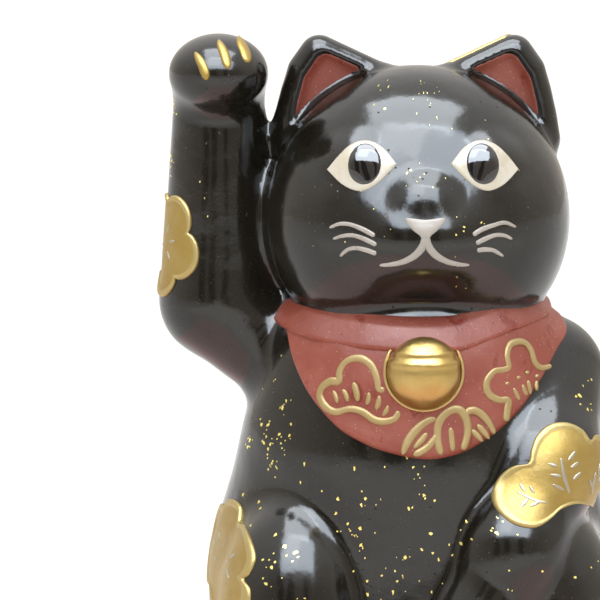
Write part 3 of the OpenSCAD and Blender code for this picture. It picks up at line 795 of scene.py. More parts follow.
def web_outline(corners, count=14):
    """The rounded outline of an ear's web, as (x, z) points with their outward directions."""
    c = np.array([[q[0], q[2]] for q in corners])
    area = sum(a[0] * b[1] - b[0] * a[1] for a, b in zip(c, np.roll(c, -1, 0)))
    if area > 0:
        c = c[::-1]
    points, ways = [], []
    for i in range(len(c)):
        before, here, after = c[i - 1], c[i], c[(i + 1) % len(c)]
        n1 = unit(np.array([-(here - before)[1], (here - before)[0]]))
        n2 = unit(np.array([-(after - here)[1], (after - here)[0]]))
        a1, a2 = math.atan2(n1[1], n1[0]), math.atan2(n2[1], n2[0])
        while a2 > a1:
            a2 -= 2 * math.pi
        for t in np.linspace(0, 1, count):
            a = a1 + (a2 - a1) * t
            points.append(here)
            ways.append((math.cos(a), math.sin(a)))
        for t in np.linspace(0, 1, count)[1:-1]:
            points.append(here + (after - here) * t)
            ways.append(n2)
    return np.array(points), np.array(ways)


def make_ear_linings():
    pieces = []
    for side, hand in HANDS:
        place = from_front(lambda p, side=side: ear_field(p, side), HEAD[1] + 4)
        layer = Layer("ear_lining_%s_enamel" % hand, place)
        points, ways = web_outline(ear_corners(side, CUP_INSET, 0))
        outline = points + 3.15 * ways
        shares = [0.03, 0.25, 0.45, 0.62, 0.76, 0.87, 0.94, 0.98, 1.0]
        layer.pad(outline, shares, [0.3] * 6 + [0.28, 0.2, 0.0])
        pieces.append(layer.build())
    return pieces


def make_ear_gilding():
    """Gold over the back of the left ear, which comes round its inner edge to the front."""
    layer = Layer("gold_patch_ear_leaf", None)
    points, ways = web_outline(ear_corners(1, 0, 0))
    n = len(points)
    depth = HEAD[1] + 4
    middle = points.mean(0)
    inner_side = np.clip(-ways[:, 0] * 1.6 + 0.2, 0, 1) * np.clip(ways[:, 1] + 0.5, 0, 1)
    last = 35 - 55 * inner_side
    steps = np.linspace(0, 1, 10)
    rows = {}
    for height in (0.42, -SINK):
        r = EAR_T / 2 + height
        layers = [np.concatenate([middle + (points - middle) * s,
                                  np.full((n, 1), depth + r)], 1)[:, [0, 2, 1]] for s in (0.02, 0.4, 0.75)]
        for k, t in enumerate(steps):
            v = np.radians(90 + (last - 90) * t)
            drop = 1 if k < len(steps) - 1 else 0.3
            rr = EAR_T / 2 + height * drop
            flat = points + ways * (rr * np.cos(v))[:, None]
            layers.append(np.stack([flat[:, 0], depth + rr * np.sin(v), flat[:, 1]], -1))
        rows[height] = np.concatenate(layers)
    count = 3 + len(steps)
    faces = sheet_mesh(count, n, True)
    layer.add(np.concatenate([rows[0.42], rows[-SINK]]), faces,
              np.tile(np.repeat([0] * (count - 4) + [0.5, 1, 1, 1], n), 2))
    return layer.build()


# ---------------------------------------------------------------- bib, neck band and bell

BIB_T = 1.4
COLLAR_H, COLLAR_T = 9.0, 2.6
bib_low = node_box("bib")[0][2]
collar_low_front = node_box("bib_collar")[0][2]


def front_forms(p):
    """What the bib and the patches lie on."""
    return melt(form_field(p, BODY), form_field(p, LOWERED), 3)


on_body = from_round(front_forms, 0, 0)


def collar_low(a):
    """The neck band's lower edge; it rides up over the lowered foreleg's shoulder."""
    r = np.radians(a)
    over = 3.0 * (np.clip((a - 14) / 22, 0, 1) - np.clip((a - 110) / 50, 0, 1))
    return collar_low_front - 0.6 + 2.5 * np.sin(r) ** 2 + 3 * (1 - np.cos(r)) + over


# The bib's lower edge: degrees round the body, and height above its lowest point
BIB_EDGE = [(-70, 33.0), (-65, 31.0), (-58, 27.4), (-50, 20.8), (-42, 14.2), (-31, 7.4), (-22, 4.0), (-14, 1.9),
            (-4, 0.3), (4, 0.0), (14, 1.7), (25, 5.7), (35, 10.7), (45, 16.9), (54, 22.4), (62, 26.6), (75, 32.0)]


def bib_edge(a):
    path = smooth_path(BIB_EDGE, 300)
    return bib_low + np.interp(a, path[:, 0], path[:, 1])


def make_bib():
    cols, rows = 190, 34
    angles = np.linspace(-68.5, 74.0, cols)
    low, high = bib_edge(angles), collar_low(angles) + 3.0
    s = np.linspace(0, 1, rows)
    rise = (1 - np.cos(np.minimum(s * 5, 1) * math.pi)) / 2 * 0.12 + 0.88 * s ** 1.15
    flat = np.stack([np.tile(angles, (rows, 1)), low + (high - low) * rise[:, None]], -1)
    edge = np.minimum((flat[..., 1] - low) * 0.8, (1 - np.abs(angles - 2.75) / 71.3)[None] * 90)
    lift = BIB_T * np.sqrt(np.clip(1 - (1 - np.clip(edge / 1.5, 0, 1)) ** 2, 0, 1))
    soft = 0.16 * np.sin(flat[..., 0] * 0.13 + flat[..., 1] * 0.21) + 0.12 * np.sin(flat[..., 0] * 0.31 - 1)
    lift = lift + soft * np.clip(edge / 4, 0, 1)
    layer = Layer("bib_cloth", on_body)
    top = on_body(flat.reshape(-1, 2), lift.reshape(-1))
    bottom = on_body(flat.reshape(-1, 2), -SINK)
    layer.add(np.concatenate([top, bottom]), sheet_mesh(rows, cols, False))
    return layer.build()


def make_collar():
    turns, round_steps = 220, 30
    angles = np.linspace(0, 360, turns, endpoint=False) - 180
    shares = (1 - np.cos(np.linspace(0, math.pi, round_steps))) / 2

    def neck_row(share, out):
        z = collar_low(angles) + COLLAR_H * share
        start = np.stack([0 * z, 0 * z, z], -1)
        return land(body_only, start, start + 90 * around(angles)) + around(angles) * out

    rows = []
    for share in shares:
        # Steep at the fold below, then nearly level up to the chin
        profile = min(1.0, share / 0.16) ** 0.5 * min(1.0, (1 - share) / 0.25) ** 0.5
        wave = 1 + 0.10 * np.sin(np.radians(angles) * 7 + 1 + 2 * share) + 0.07 * np.sin(np.radians(angles) * 13)
        rows.append(neck_row(share, (COLLAR_T * profile * wave)[:, None]))
    rows += [neck_row(share, -0.3) for share in (0.75, 0.5, 0.25)]
    layer = Layer("bib_collar_roll", None)
    layer.add(np.concatenate(rows), band_faces(len(rows), turns, True))
    return layer.build()


def make_bell():
    """A cast bell: a dome with two raised bands above its middle and a lip where it meets the bib."""
    low, high = node_box("bell")
    half = (high[2] - low[2]) / 2
    middle = vec((low[0] + high[0]) / 2, low[1] + 0.8 * half, (low[2] + high[2]) / 2 + 1.0)
    rows, cols = 72, 96
    lat = np.linspace(-math.pi / 2 + 0.02, math.pi / 2 - 0.02, rows)
    rings = []
    for a in lat:
        z = math.sin(a) * half
        r = math.cos(a) * half
        band = 0.3 * math.exp(-((z - 3.0) / 0.8) ** 2) + 0.28 * math.exp(-((z - 5.7) / 0.6) ** 2)
        groove = 0.26 * math.exp(-((z - 4.4) / 0.6) ** 2) + 0.12 * math.exp(-((z - 1.4) / 0.6) ** 2)
        lip = 0.5 * math.exp(-((z + half * 0.97) / 0.9) ** 2)
        turn = np.linspace(0, 2 * math.pi, cols, endpoint=False)
        out = r + band - groove + lip
        dent = 1 + 0.008 * np.sin(3 * turn + 4 * a) + 0.006 * np.sin(7 * turn - 5 * a)
        rings.append(np.stack([middle[0] + out * dent * np.sin(turn),
                               middle[1] - 0.8 * out * dent * np.cos(turn),
                               np.full(cols, middle[2] + z)], -1))
    faces = band_faces(rows, cols)
    faces.append(tuple(range(cols - 1, -1, -1)))
    faces.append(tuple((rows - 1) * cols + j for j in range(cols)))
    layer = Layer("bell_cast", None)
    layer.add(np.concatenate(rings), faces)
    # A thin pale line of glaze where the bell meets the bib
    turn = np.linspace(0, 2 * math.pi, cols, endpoint=False)
    on_bib, steps = from_front(front_forms, 0), 8
    ring = []
    for k in range(steps):
        a = 2 * math.pi * k / steps
        r = half + 0.25 + 0.45 * math.cos(a)
        flat = np.stack([middle[0] + r * np.sin(turn), middle[2] + r * np.cos(turn)], -1)
        ring.append(on_bib(flat, BIB_T + 0.25 + 0.4 * math.sin(a)))
    layer.add(np.concatenate(ring), band_faces(steps, cols, True), 1.0)
    return layer.build()


# ---------------------------------------------------------------- gold drawing on the bib

MM_PER_DEGREE = 0.72
LINE_SPREAD = 1.22  # how far a brushed line spreads when it is fired
LINE_W, LINE_H = 1.9, 0.42


def gold_line(layer, path, width=LINE_W, lead=1.0, tail=1.0):
    layer.stroke(path, np.asarray(width) * LINE_SPREAD, LINE_H, lead, tail, BIB_T, MM_PER_DEGREE)


def make_bib_pine():
    """An open cloud of pine with six needles under it: degrees round the body and height."""
    layer = Layer("bib_pine_lines", on_body)
    gold_line(layer, [(-13.6, 105.6), (-15.8, 105.9), (-16.6, 108.4), (-18.8, 111.4), (-22.3, 113.0),
                      (-26.0, 113.0), (-29.0, 111.8), (-30.6, 109.6), (-30.8, 107.3), (-34.0, 107.0),
                      (-37.0, 105.3), (-37.6, 103.0), (-35.0, 100.5), (-31.0, 99.4), (-26.0, 100.4),
                      (-21.5, 99.9), (-17.5, 98.1), (-14.0, 97.6), (-10.2, 98.4), (-8.6, 100.4)],
              [1.5, 1.7, 1.6, 1.5, 1.8, 1.6, 1.7, 1.4, 1.6, 1.7, 1.5])
    for top, foot, width in (((-32.6, 104.8), (-30.6, 101.6), 1.0), ((-29.0, 105.3), (-26.7, 102.2), 1.1),
                             ((-25.2, 107.2), (-23.2, 102.4), 1.4), ((-19.4, 104.9), (-20.0, 101.6), 1.1),
                             ((-15.6, 104.2), (-16.6, 100.5), 1.4), ((-12.4, 101.8), (-14.2, 99.0), 1.2)):
        middle = ((top[0] + foot[0]) / 2 + 0.3, (top[1] + foot[1]) / 2)
        gold_line(layer, [top, middle, foot], width, 0.4, 0.3)
    return layer.build()


def make_bib_bamboo():
    layer = Layer("bib_bamboo_lines", on_body)
    gold_line(layer, [(-7.2, 89.4), (-6.2, 91.6), (-4.4, 94.0), (-1.6, 96.4), (1.6, 98.0), (4.2, 98.4)],
              [1.0, 1.8, 1.9, 1.7, 1.4], 0.6, 0.8)
    gold_line(layer, [(5.0, 95.0), (3.0, 92.9), (0.6, 91.0), (-3.6, 89.3)], [1.4, 1.5, 1.6, 1.5], 0.8, 0.7)
    gold_line(layer, [(1.0, 94.9), (-1.2, 92.8), (-3.6, 91.0)], [1.3, 1.4, 0.9], 0.5, 0.4)
    gold_line(layer, [(5.6, 89.4), (4.8, 91.8), (4.5, 94.6), (5.0, 97.2), (7.0, 99.4), (10.2, 100.7),
                      (13.0, 100.2), (14.6, 98.2), (15.0, 95.6), (14.2, 92.8), (12.9, 90.4)],
              [1.5, 1.8, 2.0, 1.8, 1.9, 1.6, 1.5], 0.8, 0.8)
    gold_line(layer, [(9.0, 96.2), (9.3, 93.2), (9.6, 90.2)], [1.3, 1.5, 1.1], 0.7, 0.7)
    gold_line(layer, [(14.2, 99.2), (16.0, 100.2), (18.2, 100.1), (20.6, 98.9), (22.8, 96.8), (24.5, 94.0)],
              [1.4, 1.7, 1.7, 1.4, 1.1], 0.8, 0.6)
    gold_line(layer, [(18.4, 96.6), (20.6, 94.8), (22.4, 92.8)], [1.3, 1.4, 0.8], 0.5, 0.4)
    gold_line(layer, [(16.4, 95.4), (18.2, 93.9), (20.0, 92.3)], [1.2, 1.3, 0.9], 0.5, 0.4)
    return layer.build()


def make_bib_plum():
    layer = Layer("bib_plum_lines", on_body)
    gold_line(layer, [(52.0, 109.3), (49.0, 109.2), (46.0, 109.6), (43.9, 111.2), (43.2, 114.0), (41.4, 115.8),
                      (38.0, 116.4), (34.0, 115.8), (31.8, 113.4), (31.8, 110.6), (29.6, 110.0), (26.0, 109.8),
                      (23.2, 107.9), (22.6, 105.6), (24.2, 103.6), (27.4, 102.5), (30.6, 102.2),
                      (30.0, 99.8), (29.2, 96.9)],
              [1.0, 1.4, 1.5, 1.3, 1.4, 1.5, 1.6, 1.5, 1.7, 1.6, 1.8, 1.5])
    for at in ((30.6, 106.5), (35.5, 107.7), (39.6, 108.7), (44.0, 107.5)):
        gold_line(layer, [(at[0] - 0.9, at[1] - 0.1), at, (at[0] + 0.9, at[1] + 0.2)], 0.9, 0.8, 0.8)
    for top, foot in (((33.0, 105.3), (35.2, 102.0)), ((37.0, 105.9), (38.4, 102.9)),
                      ((39.6, 106.8), (40.3, 103.0)), ((43.6, 106.4), (43.2, 103.6))):
        gold_line(layer, [top, ((top[0] + foot[0]) / 2, (top[1] + foot[1]) / 2), foot], 1.1, 0.5, 0.4)
    return layer.build()


# ---------------------------------------------------------------- claws and gold patches

CLAW_H = 0.6


def three_claws(layer, across, up):
    for i in (-1, 0, 1):
        x, z = across + 5.6 * i, up - 0.4 * abs(i)
        layer.stroke([(x, z), (x + 0.3 * i, z - 3), (x + 0.6 * i, z - 6.2)], [1.7, 2.3, 2.0], CLAW_H, 0.5, 0.8)


def make_claws():
    pieces = []
    raised = Layer("claws_raised_gold", from_front(lambda p: form_field(p, RAISED), ARM_Y - 5))
    for top, foot in (((-6.0, 190.2), (-2.9, 183.3)), ((-0.1, 193.2), (2.6, 186.1)), ((4.9, 193.8), (7.9, 187.5))):
        a, b = np.array(top) + (ARM_X, 0), np.array(foot) + (ARM_X, 0)
        raised.stroke([a, (a + b) / 2 + (0.3, 0.2), b], [1.7, 2.3, 2.5, 1.9], CLAW_H, 0.5, 0.8)
    pieces.append(raised.build())
    lowered = Layer("claws_lowered_gold", from_front(lambda p: form_field(p, LOWERED), LEG_PAW[1] - 8))
    three_claws(lowered, LEG_PAW[0], LEG_PAW[2] + 6)
    pieces.append(lowered.build())
    hind = Layer("claws_hind_gold", None)
    for side in (-1, 1):
        hind.place = from_front(lambda p, side=side: form_field(p, HIND[side]), -50)
        three_claws(hind, side * (HIND_X + 1), PAW[2] - 5)
    pieces.append(hind.build())
    return pieces


RIM_SHARES = [0.02, 0.2, 0.4, 0.6, 0.75, 0.85, 0.885, 0.91, 0.95, 0.98, 0.995, 1.0]
RIM_HEIGHTS = [0.45, 0.45, 0.44, 0.42, 0.4, 0.38, 0.42, 0.72, 0.82, 0.68, 0.4, 0.0]
RIM_MARKS = [0, 0, 0, 0, 0, 0.05, 0.6, 1, 1, 1, 1, 1]


def gold_plate(layer, outline, middle=None, count=170):
    layer.pad(smooth_path(outline, count, closed=True), RIM_SHARES, RIM_HEIGHTS, middle, RIM_MARKS)


def engraved(layer, start, end, width, stretch, bend=0.0):
    a, b = np.array(start, float), np.array(end, float)
    way = (b - a) * (stretch, 1)
    side = np.array([way[1], -way[0]]) / (stretch, 1) * bend
    layer.stroke([a, (a + b) / 2 + side, b], [width * 0.6, width, width * 0.8], 0.16, 0.3, 0.3,
                 base=0.4, stretch=stretch, mark=2.0)


def twig(layer, stem, leaves, stretch, width=1.0):
    engraved(layer, *stem, width, stretch, 0.06)
    for start, end in leaves:
        engraved(layer, start, end, width * 0.95, stretch)


def make_flank_patch():
    layer = Layer("gold_patch_flank_plate", on_body)
    gold_plate(layer, [(60.0, 90.6), (55.5, 92.4), (51.2, 91.6), (49.6, 94.4), (46.0, 96.3), (41.0, 96.1),
                       (36.4, 93.6), (33.8, 90.2), (32.2, 87.0), (29.0, 86.0), (25.6, 83.4), (22.8, 79.6),
                       (21.6, 76.3), (23.0, 73.7), (25.6, 72.2), (29.5, 71.7), (34.0, 73.2), (38.6, 75.4),
                       (43.6, 76.2), (50.0, 75.0), (56.0, 73.6), (61.5, 75.0), (65.0, 79.0), (65.0, 85.0)],
               middle=(42, 83.5))
    s = 0.92
    twig(layer, ((28.0, 79.9), (34.6, 77.2)),
         [((29.4, 82.0), (29.9, 79.8)), ((31.4, 81.6), (31.9, 79.6)), ((27.2, 76.4), (30.0, 78.4)),
          ((29.6, 76.6), (33.0, 77.8))], s, 0.9)
    twig(layer, ((40.0, 88.2), (41.4, 79.2)),
         [((36.6, 86.9), (38.8, 86.2)), ((36.6, 84.2), (39.4, 83.7)), ((36.8, 81.8), (39.8, 80.2)),
          ((44.4, 89.6), (41.8, 87.4)), ((44.8, 86.9), (42.2, 85.6)), ((45.2, 84.3), (42.6, 82.6))], s)
    twig(layer, ((51.0, 83.6), (50.4, 77.8)),
         [((53.6, 85.6), (52.4, 82.0)), ((56.0, 83.4), (53.0, 80.6)), ((48.4, 82.0), (49.8, 79.8))], s)
    return layer.build()


def make_haunch_patch():
    layer = Layer("gold_patch_haunch_plate", on_body)
    gold_plate(layer, [(-76.0, 72.2), (-71.0, 71.4), (-67.4, 67.6), (-62.0, 68.0), (-55.0, 67.2), (-49.6, 64.6),
                       (-47.2, 61.6), (-48.0, 58.0), (-49.4, 56.6), (-46.6, 54.6), (-46.0, 50.6), (-48.6, 46.6),
                       (-55.0, 44.6), (-62.0, 45.6), (-67.0, 43.4), (-75.0, 42.2), (-83.0, 43.6), (-87.0, 47.2),
                       (-93.0, 47.4), (-98.0, 51.0), (-98.4, 56.6), (-95.6, 60.6), (-97.0, 64.8),
                       (-93.0, 68.6), (-86.6, 68.8), (-82.4, 71.4)], middle=(-72, 57.5))
    for start, end in (((-90.0, 60.0), (-86.5, 58.4)), ((-84.0, 62.6), (-82.0, 60.0)),
                       ((-75.4, 62.6), (-76.6, 59.4)), ((-57.0, 61.4), (-60.6, 60.0)),
                       ((-84.6, 56.0), (-81.6, 55.2)), ((-77.6, 54.0), (-76.4, 56.4)),
                       ((-64.0, 58.4), (-67.4, 57.2)), ((-57.0, 55.4), (-61.0, 57.0)),
                       ((-69.0, 53.4), (-69.8, 56.0))):
        engraved(layer, start, end, 1.0, 0.9)
    return layer.build()


def plum_outline(middle, r, stretch, lobes=5, turn=0.0):
    a = np.linspace(0, 2 * math.pi, 90, endpoint=False)
    reach = r * (1 + 0.17 * np.abs(np.cos(lobes * (a - turn) / 2)) ** 0.7 * 1.6 - 0.12)
    return np.stack([middle[0] + reach * np.sin(a) / stretch, middle[1] + reach * np.cos(a)], -1)


PATCH_TURN = -72.0  # degrees round the raised foreleg


def make_foreleg_patch():
    place = from_round(lambda p: form_field(p, RAISED), ARM_X, ARM_Y, 60)
    layer = Layer("gold_patch_foreleg_plate", place)
    stretch = ELBOW_D / 2 * math.pi / 180
    outline = plum_outline((PATCH_TURN, ELBOW_Z + 15.5), 12.4, stretch, turn=math.pi / 5)
    layer.pad(outline, RIM_SHARES, RIM_HEIGHTS, None, RIM_MARKS)
    for k in range(6):
        a = math.radians(60 * k + 20)
        inner = (PATCH_TURN + 2.6 * math.sin(a) / stretch, ELBOW_Z + 15.5 + 2.6 * math.cos(a))
        outer = (PATCH_TURN + 5.4 * math.sin(a) / stretch, ELBOW_Z + 15.5 + 5.4 * math.cos(a))
        engraved(layer, inner, outer, 0.9, stretch)
    return layer.build()


def make_back_patch():
    layer = Layer("gold_patch_back_plate", from_round(body_only, 0, 0))
    s, at = 0.8, np.array([196.0, 86.0])
    cloud = [(0, 18), (8, 16.5), (12.4, 10.4), (19, 8.4), (22, 2), (18, -4.6), (11, -8), (5, -12.6), (-4, -11.6),
             (-10, -8), (-17.6, -6), (-22, 0.6), (-19, 7.8), (-12.6, 10.2), (-8.6, 16)]
    gold_plate(layer, [at + (x / s, z * 0.95) for x, z in cloud], middle=at)
    twig(layer, (at + (0, 10), at + (2, -7)),
         [(at + (side * (2 + 2.2 * k), 8.4 - 4.4 * k), at + (side * 8.4, 10.4 - 4.6 * k))
          for side in (-1, 1) for k in range(3)], s)
    return layer.build()


# Where the gold leaf has gathered: degrees round the body, height, spread and how many flakes
FLAKE_DRIFTS = [(-53, 100, 3, 5), (-60, 91, 4, 12), (-71, 88, 3, 6), (-51, 90, 3, 6), (-56, 83.4, 3, 7),
                (-40, 62, 5, 10), (-24, 67, 4, 9), (-16, 76, 6, 5), (-8, 57, 6, 7), (-3, 86, 3, 4),
                (-1, 79, 5, 6), (20, 73, 5, 7), (6, 64, 7, 8), (60, 101, 5, 6), (-62, 66, 7, 6),
                (70, 60, 14, 8), (110, 70, 16, 10), (150, 90, 16, 10), (-150, 60, 16, 10), (-120, 80, 14, 8),
                (-30, 80, 16, 10), (30, 55, 10, 8), (-22, 48, 10, 9), (-70, 108, 8, 4)]
ARM_DRIFTS = [(-76, 176, 3, 6), (-80, 161, 3.5, 6), (-30, 150, 10, 3), (170, 150, 14, 5)]
HEAD_DRIFTS = [(3, 178, 7, 12), (-3, 160, 5, 6), (15, 147, 5, 5), (10, 137, 5, 3), (-22, 150, 12, 4),
               (30, 170, 10, 5), (180, 160, 24, 8), (-34, 178, 6, 4)]


def make_flakes():
    rng = np.random.default_rng(4)
    layer = Layer("gold_flakes_leaf", None)
    on_foreleg = from_round(lambda p: form_field(p, RAISED), ARM_X, ARM_Y, 60)
    sets = ((on_body, FLAKE_DRIFTS, 0.8, 0.22), (on_foreleg, ARM_DRIFTS, 0.26, 0.18),
            (from_round(head_only, 0, HEAD[1]), HEAD_DRIFTS, 0.66, 0.13))
    for place, drifts, stretch, smallest in sets:
        flats, runs = [], []
        for angle, z, spread, number in drifts:
            for _ in range(int(number * 1.5)):
                at = np.array([angle, z]) + rng.normal(0, 0.55, 2) * spread / (stretch, 1)
                sides = rng.integers(4, 8)
                size = smallest * (1 + 2.0 * rng.random() ** 2.6)
                turn = np.sort(rng.random(sides)) * 2 * math.pi
                turn = turn * 0.35 + np.linspace(0, 2 * math.pi, sides, endpoint=False) * 0.65
                r = size * rng.uniform(0.5, 1.3, sides)
                ring = np.stack([r * np.sin(turn) * rng.uniform(0.6, 1.0), r * np.cos(turn)], -1)
                flats.append(at + ring / (stretch, 1))
                runs.append(sides)
        flat = np.concatenate(flats)
        top, bottom = place(flat, 0.13), place(flat, -0.1)
        start = 0
        for sides in runs:
            pick = slice(start, start + sides)
            wall = [(j, (j + 1) % sides, sides + (j + 1) % sides, sides + j) for j in range(sides)]
            layer.add(np.concatenate([top[pick], bottom[pick]]),
                      [tuple(range(sides)), tuple(range(2 * sides - 1, sides - 1, -1))] + wall)
            start += sides
    piece = layer.build()
    piece.data.polygons.foreach_set("use_smooth", [False] * len(piece.data.polygons))
    return piece


# ---------------------------------------------------------------- shader groups

BUMP_REACH = 0.008  # metres of relief for a height of one


class Graph:
    """Adds nodes to a tree and wires them by socket name."""

    def __init__(self, tree):
        self.tree = tree
        self.column = 0

    def node(self, kind, values=None, **settings):
        made = self.tree.nodes.new(kind)
        made.location = (self.column * 190, -40 * (self.column % 5))
        self.column += 1
        for key, value in settings.items():
            setattr(made, key, value)
        for name, value in (values or {}).items():
            socket = made.inputs[name]
            if isinstance(value, bpy.types.NodeSocket):
                self.tree.links.new(value, socket)
            else:
                socket.default_value = value
        return made

    def math(self, operation, a, b, clamp=False):
        return self.node("ShaderNodeMath", {0: a, 1: b}, operation=operation, use_clamp=clamp).outputs[0]

    def times(self, a, b):
        return self.math("MULTIPLY", a, b)

    def plus(self, a, b):
        return self.math("ADD", a, b)

    def minus(self, a, b):
        return self.math("SUBTRACT", a, b)

    def scaled(self, place, x, y, z):
        return self.node("ShaderNodeVectorMath", {0: place, 1: (x, y, z)}, operation="MULTIPLY").outputs[0]

    def ramp(self, value, low, high):
        """0 below low, 1 above high and smooth between."""
        return self.node("ShaderNodeMapRange", {"Value": value, "From Min": low, "From Max": high},
                         interpolation_type="SMOOTHSTEP").outputs["Result"]

    def mix(self, share, a, b):
        made = self.node("ShaderNodeMix", data_type="RGBA")
        for index, value in ((0, share), (6, a), (7, b)):
            if isinstance(value, bpy.types.NodeSocket):
                self.tree.links.new(value, made.inputs[index])
            else:
                made.inputs[index].default_value = value
        return made.outputs[2]

    def noise(self, place, scale, detail=3.0, rough=0.55):
        return self.node("ShaderNodeTexNoise", {"Vector": place, "Scale": scale, "Detail": detail,
                                                "Roughness": rough}).outputs["Fac"]

    def cells(self, place, scale, feature="F1"):
        return self.node("ShaderNodeTexVoronoi", {"Vector": place, "Scale": scale}, feature=feature)

    def bump(self, height):
        values = {"Height": height, "Distance": BUMP_REACH, "Strength": 1.0}
        return self.node("ShaderNodeBump", values).outputs["Normal"]


def new_group(name, inputs):
    tree = bpy.data.node_groups.new(name, "ShaderNodeTree")
    for socket, kind, value in inputs:
        made = tree.interface.new_socket(socket, in_out="INPUT", socket_type="NodeSocket" + kind)
        made.default_value = value
    for socket, kind in (("Color", "Color"), ("Roughness", "Float"), ("Normal", "Vector")):
        tree.interface.new_socket(socket, in_out="OUTPUT", socket_type="NodeSocket" + kind)
    graph = Graph(tree)
    start = graph.node("NodeGroupInput")
    end = graph.node("NodeGroupOutput")
    place = graph.node("ShaderNodeTexCoord").outputs["Object"]
    return graph, start.outputs, end.inputs, graph.scaled(place, 1000, 1000, 1000)


def give(graph, result, color, rough, normal):
    for socket, output in (("Color", color), ("Roughness", rough), ("Normal", normal)):
        graph.tree.links.new(output, result[socket])
    return graph.tree


def glaze_group():
    """Fired gloss glaze: cloudy tone, a grain of fine specks, pinholes and a slow ripple."""
    graph, given, result, place = new_group(
        "Fired glaze", [("Tone", "Color", (0.01, 0.009, 0.008, 1)), ("Pool tone", "Color", (0.004, 0.004, 0.003, 1)),
                        ("Speck tone", "Color", (0.12, 0.08, 0.03, 1)), ("Speck share", "Float", 0.35),
                        ("Pinhole depth", "Float", 0.06), ("Ripple", "Float", 0.05), ("Gloss", "Float", 0.07)])
    cloud = graph.ramp(graph.noise(place, 0.045, 4), 0.38, 0.66)
    tone = graph.mix(cloud, given["Pool tone"], given["Tone"])
    grain = graph.noise(place, 2.4, 2, 0.7)
    fine = graph.cells(place, 1.5).outputs["Distance"]
    speck = graph.times(graph.ramp(grain, 0.56, 0.74), graph.ramp(fine, 0.42, 0.16))
    speck = graph.math("MULTIPLY", speck, given["Speck share"], clamp=True)
    color = graph.mix(speck, tone, given["Speck tone"])
    hole_cells = graph.cells(place, 0.42).outputs["Distance"]
    where = graph.ramp(graph.noise(place, 0.09, 2), 0.5, 0.62)
    holes = graph.times(graph.ramp(hole_cells, 0.13, 0.05), where)
    ripple = graph.noise(place, 0.055, 2, 0.45)
    peel = graph.noise(place, 0.5, 2, 0.5)
    height = graph.plus(graph.times(ripple, given["Ripple"]), graph.times(peel, 0.0045))
    height = graph.minus(height, graph.times(holes, given["Pinhole depth"]))
    normal = graph.bump(height)
    rough = graph.plus(given["Gloss"], graph.times(graph.ramp(peel, 0.5, 0.8), 0.05))
    rough = graph.plus(rough, graph.times(holes, 0.25))
    return give(graph, result, color, rough, normal)


def enamel_group():
    """Overglaze enamel, brushed on thick: satin, streaked where it thinned, with pale dots painted into the colour
    as glints of light.
    """
    graph, given, result, place = new_group(
        "Brushed enamel", [("Tone", "Color", (0.3, 0.07, 0.05, 1)), ("Thin tone", "Color", (0.25, 0.03, 0.01, 1)),
                           ("Pale tone", "Color", (0.45, 0.16, 0.12, 1)), ("Streaks", "Float", 0.8),
                           ("Painted glint amount", "Float", 0.5), ("Satin", "Float", 0.3)])
    long = graph.scaled(place, 1.0, 1.0, 0.55)
    streak = graph.times(graph.ramp(graph.noise(long, 0.17, 5, 0.68), 0.57, 0.66), given["Streaks"])
    cloud = graph.ramp(graph.noise(place, 0.09, 3), 0.35, 0.7)
    tone = graph.mix(cloud, given["Tone"], given["Pale tone"])
    tone = graph.mix(streak, tone, given["Thin tone"])
    # Painted highlight: scattered pale dots mixed into the base colour stand in for glints of light on the enamel
    dots = graph.cells(place, 1.1)
    painted_glints = graph.ramp(dots.outputs["Distance"], 0.2, 0.08)
    chance = graph.node("ShaderNodeSeparateColor", {"Color": dots.outputs["Color"]}).outputs["Red"]
    painted_glints = graph.times(graph.times(painted_glints, graph.ramp(chance, 0.62, 0.72)), given["Painted glint amount"])
    color = graph.mix(graph.times(painted_glints, 0.6), tone, (0.75, 0.62, 0.56, 1))
    height = graph.plus(graph.times(graph.noise(place, 0.35, 3), 0.02),
                        graph.times(graph.noise(place, 1.6, 2), 0.004))
    height = graph.minus(height, graph.times(streak, 0.006))
    normal = graph.bump(height)
    rough = graph.plus(given["Satin"], graph.times(graph.noise(place, 0.6, 3), 0.15))
    rough = graph.minus(rough, graph.times(streak, 0.15))
    return give(graph, result, color, rough, normal)


def gilding_group():
    """Burnished gold over glaze: rims and engraving by the layer's marks, with rubbed and sooty places."""
    graph, given, result, place = new_group(
        "Burnished gold", [("Gold", "Color", (0.69, 0.48, 0.14, 1)), ("Rim gold", "Color", (0.85, 0.7, 0.32, 1)),
                           ("Soot", "Color", (0.2, 0.15, 0.06, 1)), ("Etched", "Color", (0.36, 0.33, 0.25, 1)),
                           ("Wear", "Float", 0.4), ("Burnish", "Float", 0.28)])
    mark = graph.node("ShaderNodeAttribute", attribute_name="mark").outputs["Fac"]
    rim = graph.times(graph.ramp(mark, 0.2, 0.9), graph.ramp(mark, 1.6, 1.2))
    etched = graph.ramp(mark, 1.5, 1.9)
    cloud = graph.noise(place, 0.16, 4, 0.6)
    tone = graph.mix(graph.ramp(cloud, 0.3, 0.75), given["Gold"],
                     graph.mix(0.5, given["Gold"], given["Rim gold"]))
    tone = graph.mix(rim, tone, given["Rim gold"])
    soot = graph.times(graph.ramp(graph.noise(place, 0.9, 4, 0.7), 0.6, 0.78), given["Wear"])
    tone = graph.mix(soot, tone, given["Soot"])
    tone = graph.mix(etched, tone, given["Etched"])
    fine = graph.noise(place, 3.5, 2, 0.6)
    height = graph.plus(graph.times(cloud, 0.025), graph.times(fine, 0.004))
    normal = graph.bump(height)
    rough = graph.plus(given["Burnish"], graph.times(soot, 0.3))
    rough = graph.plus(rough, graph.times(fine, 0.1))
    return give(graph, result, tone, rough, normal)


